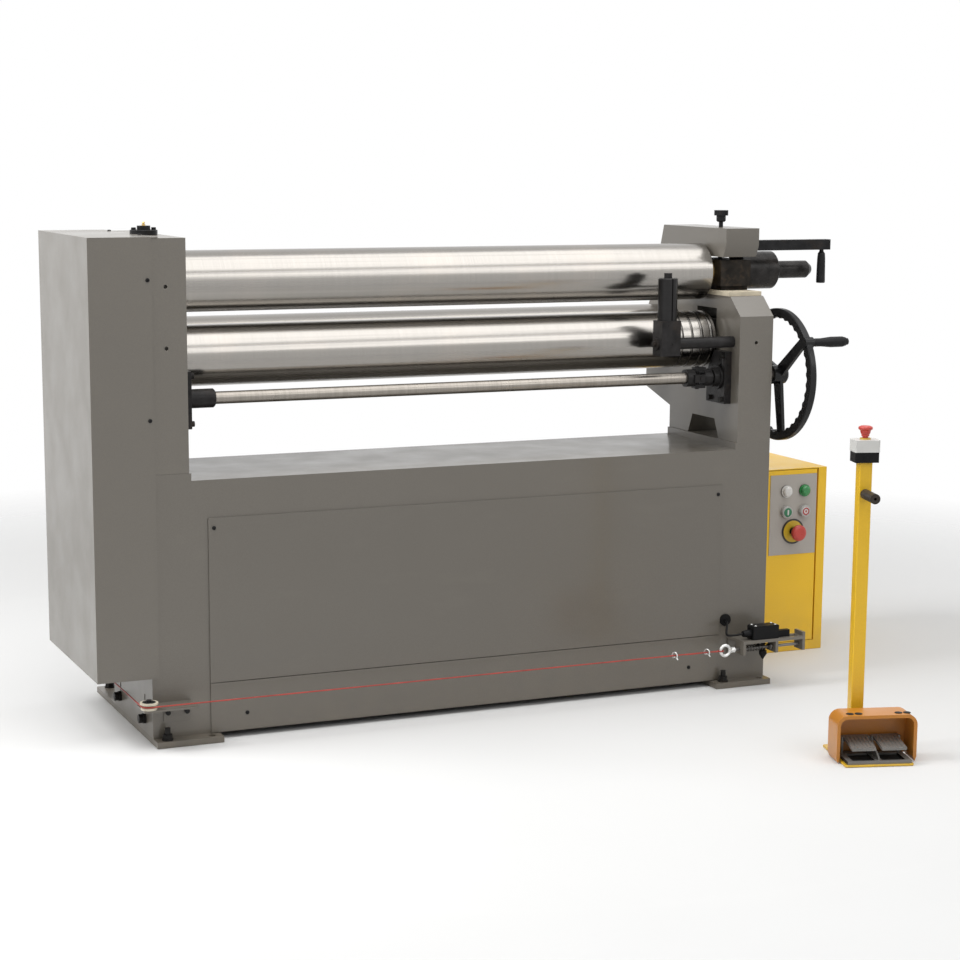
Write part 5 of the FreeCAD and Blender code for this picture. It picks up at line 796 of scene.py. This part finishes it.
# ---- Control cabinet
# A folded sheet case in safety yellow at the right of the base with a lift-off door hinged on the right.
# The door sits in the opening with an even dark gap round it.
YELLOW = (0.93, 0.56, 0.014)
case_yellow = enamel("case_yellow_enamel", YELLOW, gloss=0.34, drift=0.04, grain=0.05, soil=0.25, scuff=0.05,
                     coat=0.15)
dress("cabinet_case", case_yellow)
dress("cabinet_door", case_yellow)
plate_grey = enamel("plate_grey_enamel", (0.42, 0.385, 0.345), gloss=0.42, drift=0.03, grain=0.05, peel=0.00003,
                    scuff=0.1)
dress("control_plate", plate_grey)

# ---- Pilot lamps
# Two signal lamps with moulded lenses, white for mains and green for running, each in a dark collar that
# stands on the plate.


def lens_glass(name, colour):
    """A translucent moulded lens: clear skin over a milky body, its tone varying a little at random."""
    made, tree, shader = new_finish(name, 0.14)
    tone = stain(tree, span(tree, cloud(tree, 160, 3), 0, 1), shade(colour, 0.92), shade(colour, 1.06))
    tree.links.new(tone, shader.inputs["Base Color"])
    shader.inputs["Subsurface Weight"].default_value = 0.25
    shader.inputs["Subsurface Radius"].default_value = (0.004, 0.004, 0.004)
    shader.inputs["Coat Weight"].default_value = 0.5
    shader.inputs["Coat Roughness"].default_value = 0.08
    tree.links.new(span(tree, cloud(tree, 300, 3), 0.12, 0.24), shader.inputs["Roughness"])
    relief(tree, shader, (cloud(tree, 500, 2), 0.00004))
    return made


LEFT_COLUMN, RIGHT_COLUMN, BETWEEN_COLUMNS = 885, 936.5, 911
LAMP_ROW, PLATE_FRONT = 404.5, 11.5
lamps = dress("pilot_lamps", lens_glass("lens_white", (0.72, 0.70, 0.67)))
touch_up(lamps, lens_glass("lens_green", (0.012, 0.24, 0.05)), lambda p: p.x > BETWEEN_COLUMNS)
collar_dark = moulded("collar_dark", (0.05, 0.05, 0.052), 0.32, shine=0.12)


def draw_collars(drawn):
    """A low ring round each lamp, with its front edge broken."""
    for x in (LEFT_COLUMN, RIGHT_COLUMN):
        spin_outline(drawn, [(-0.3, 13.2), (-0.3, 15.2), (1.6, 15.2), (2.2, 14.6), (2.2, 13.2), (-0.3, 13.2)],
                     (x, PLATE_FRONT, LAMP_ROW), FRONT, 48)


collars = new_piece("lamp_collars", draw_collars, collar_dark)
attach(collars, "door")

# ---- Push buttons
# Start and stop buttons in light grey bezels: the start cap green with a raised white bar, the stop cap
# white with a raised red ring and dot. The legend disc of the emergency stop is yellow with a black rim.
BUTTON_ROW, STOP_X, STOP_ROW, LEGEND_TOP, LEGEND_REACH = 353.5, 907, 303.5, 336, 32
LEGEND_YELLOW, RIM_BLACK, LEGEND_GRIME = (0.70, 0.47, 0.03), (0.018, 0.018, 0.02), (0.3, 0.24, 0.1)
RIM_FROM, RIM_FULL = 0.0268, 0.0271
legend_finish, tree, shader = new_finish("stop_legend", 0.32)
spot = tree.nodes.new("ShaderNodeTexCoord")
reach = tree.nodes.new("ShaderNodeVectorMath")
reach.operation = "MULTIPLY"
reach.inputs[1].default_value = (1, 0, 1)
tree.links.new(spot.outputs["Object"], reach.inputs[0])
away = tree.nodes.new("ShaderNodeVectorMath")
away.operation = "DISTANCE"
away.inputs[1].default_value = (STOP_X / 1000, 0, STOP_ROW / 1000)
tree.links.new(reach.outputs["Vector"], away.inputs[0])
rim = span(tree, away.outputs["Value"], 0, 1, RIM_FROM, RIM_FULL)
tone = stain(tree, rim, LEGEND_YELLOW, RIM_BLACK)
tone = stain(tree, span(tree, cloud(tree, 40, 4), 0, 0.12), tone, LEGEND_GRIME)
tree.links.new(tone, shader.inputs["Base Color"])
tree.links.new(span(tree, cloud(tree, 60, 4), 0.28, 0.42), shader.inputs["Roughness"])
relief(tree, shader, (cloud(tree, 900, 2), 0.00002))
bezels = dress("button_bezels", moulded("bezel_grey", (0.47, 0.46, 0.44), 0.3))
touch_up(bezels, legend_finish,
         lambda p: p.z < LEGEND_TOP and math.hypot(p.x - STOP_X, p.z - STOP_ROW) < LEGEND_REACH)

button_green = moulded("button_green", (0.03, 0.19, 0.085), 0.26)
button_white = moulded("button_white", (0.66, 0.63, 0.60), 0.26, wear=0.04)
mark_red = moulded("mark_red", (0.42, 0.035, 0.03), 0.3)
dress("start_button", button_green)
dress("stop_button", button_white)
BAR_HALF, BAR_END_R, BAR_PROUD = 4.6, 2.1, 0.15


def draw_start_bar(drawn):
    """A raised upright bar with rounded ends."""
    outline = [(BAR_END_R * math.cos(t), end + BAR_END_R * math.sin(t))
               for end, start in ((BAR_HALF, 0), (-BAR_HALF, math.pi))
               for t in (start + math.pi * k / 10 for k in range(11))]
    rings = [[drawn.verts.new(Vector((LEFT_COLUMN + x * shrink, y, BUTTON_ROW + z * shrink)) / 1000)
              for x, z in outline] for y, shrink in ((1.0, 1.0), (-0.15, 1.0), (-0.4, 0.88))]
    for here, there in zip(rings, rings[1:]):
        for k in range(len(outline)):
            m = (k + 1) % len(outline)
            drawn.faces.new((here[k], here[m], there[m], there[k]))
    drawn.faces.new(rings[-1])


cap_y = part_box("start_button")[0][1] * 1000
start_bar = new_piece("start_bar", draw_start_bar, button_white)
start_bar.location.y = (cap_y - BAR_PROUD) / 1000
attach(start_bar, "start")


def draw_stop_ring(drawn):
    """A raised ring with a dot in its middle."""
    spin_outline(drawn, [(-1, 9.4), (0.15, 9.4), (0.4, 9.0), (0.4, 6.6), (0.15, 6.2), (-1, 6.2)],
                 (RIGHT_COLUMN, cap_y, BUTTON_ROW), FRONT, 56)
    spin_outline(drawn, [(-1, 2.6), (0.15, 2.6), (0.4, 2.2), (0.4, 0)], (RIGHT_COLUMN, cap_y, BUTTON_ROW), FRONT, 32)


stop_ring = new_piece("stop_ring", draw_stop_ring, mark_red)
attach(stop_ring, "stop")

# ---- Emergency stops
# Red mushroom heads moulded in gloss plastic, the cabinet's 40 mm across on a black neck and the
# pedestal's smaller on a red one.
stop_red = moulded("stop_head_red", (0.52, 0.052, 0.038), 0.3, grain=500, depth=0.00003, wear=0.07)
neck_black = moulded("neck_black", (0.008, 0.008, 0.0085), 0.34, shine=0.12)
HEAD_DEPTH = 19.4
cabinet_stop = dress("cabinet_stop_head", stop_red)
head_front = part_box("cabinet_stop_head")[0][1] * 1000
touch_up(cabinet_stop, neck_black, lambda p: p.y > head_front + HEAD_DEPTH)
dress("pedestal_stop_head", stop_red)

# ---- Pedestal
# A yellow floor plate with a welded square post that carries the small stop box, and a dark plastic carry
# grip. It stands where the operator's foot finds it.
post_yellow = enamel("post_yellow_enamel", shade(YELLOW, 0.90), gloss=0.32, drift=0.04, grain=0.06, soil=0.3,
                     scuff=0.05, coat=0.2)
dress("pedestal_plate", post_yellow, 0.0008)
post = dress("pedestal_post", post_yellow)
grip_brown = moulded("carry_grip_plastic", (0.045, 0.038, 0.032), 0.4, grain=420, depth=0.00006, shine=0.12)
TURN, FOOT_X, FOOT_Y = math.radians(-16.3), 459.3, -917.0
GRIP_BACK = 120.4


def on_pedestal(u, v, z):
    """A place on the pedestal, from its own corner, in the machine's frame."""
    return Vector((FOOT_X + u * math.cos(TURN) - v * math.sin(TURN),
                   FOOT_Y + u * math.sin(TURN) + v * math.cos(TURN), z))


def pedestal_depth(p):
    """How far back on the pedestal a place in the machine's frame is."""
    return -(p.x - FOOT_X) * math.sin(TURN) + (p.y - FOOT_Y) * math.cos(TURN)


touch_up(post, grip_brown, lambda p: pedestal_depth(p) < GRIP_BACK)
PEDESTAL_FRONT = (math.sin(TURN), -math.cos(TURN), 0)

# ---- Stop box
# A small moulded box on top of the post: black lower half with a round knockout, white lid, and a yellow
# ring under the red head.
box_black = moulded("box_black", (0.008, 0.008, 0.0085), 0.34, shine=0.12)
box_white = moulded("box_lid_white", (0.66, 0.655, 0.63), 0.36, wear=0.03)
ring_yellow = moulded("ring_yellow", (0.60, 0.40, 0.05), 0.34)
LID_FOOT, RING_FOOT = 626.15, 651.05
stop_box = dress("pedestal_box", box_black)
touch_up(stop_box, box_white, lambda p: p.z > LID_FOOT)
touch_up(stop_box, ring_yellow, lambda p: p.z > RING_FOOT)


def draw_knockout(drawn):
    """A round blank for a cable gland, with a thin rim and a dot in its middle."""
    outline = [(-0.5, 8.6), (0.35, 8.6), (0.55, 8.3), (0.55, 7.7), (0.1, 7.4), (0.1, 2.2), (0.4, 1.8), (0.4, 0)]
    spin_outline(drawn, outline, on_pedestal(59, 114, 615), PEDESTAL_FRONT, 40)


knockout = new_piece("box_knockout", draw_knockout, box_black)
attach(knockout, "pedestal")

# ---- Pedal hood
# A bent guard in orange enamel over the two pedals, open to the front, with four dark rubber plugs in the
# holes of its top.
hood_orange = enamel("hood_orange_enamel", (0.56, 0.205, 0.008), gloss=0.36, drift=0.06, grain=0.08, peel=0.0001,
                     soil=0.3, scuff=0.1, coat=0.15)
dress("pedal_hood", hood_orange)
plug_rubber = moulded("plug_rubber", (0.02, 0.02, 0.021), 0.5, shine=0.12)


def draw_plugs(drawn):
    """Push-in plugs: a shank through the sheet and a low domed head on it."""
    outline = [(-8, 0), (-8, 5.2), (-7.2, 5.9), (-0.2, 6.2), (0, 7.9), (0.5, 8.1), (1.1, 7.4), (1.5, 5.0), (1.6, 0)]
    for u in (20, 38, 122, 140):
        spin_outline(drawn, outline, on_pedestal(u, 46, 99), TOP, 32)


plugs = new_piece("hood_plugs", draw_plugs, plug_rubber)
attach(plugs, "pedestal")

# ---- Pedals and their tray
# Two ribbed cast pedals in warm grey that tilt on one axle over a grey tray with wells, parted by a thin
# upright divider. The floors of the wells under the pedals are painted near-black as shade.
pedal_grey = enamel("pedal_grey_enamel", (0.165, 0.158, 0.147), gloss=0.44, drift=0.1, grain=0.12, peel=0.00015,
                    scuff=0.7)
dress("left_pedal", pedal_grey, 0.0006)
dress("right_pedal", pedal_grey, 0.0006)
tray = dress("pedal_base", pedal_grey)
# Painted shade: the well floors under the pedals are given a near-black finish.
well_painted_shade = moulded("well_painted_shade", (0.03, 0.029, 0.028), 0.5, shine=0.12)
WELL_FLOOR, WELL_RIM, WELL_FRONT, WELL_BACK = 5, 10.4, 11, 61.9
touch_up(tray, well_painted_shade, lambda p: WELL_FLOOR < p.z < WELL_RIM and WELL_FRONT < pedestal_depth(p) < WELL_BACK)
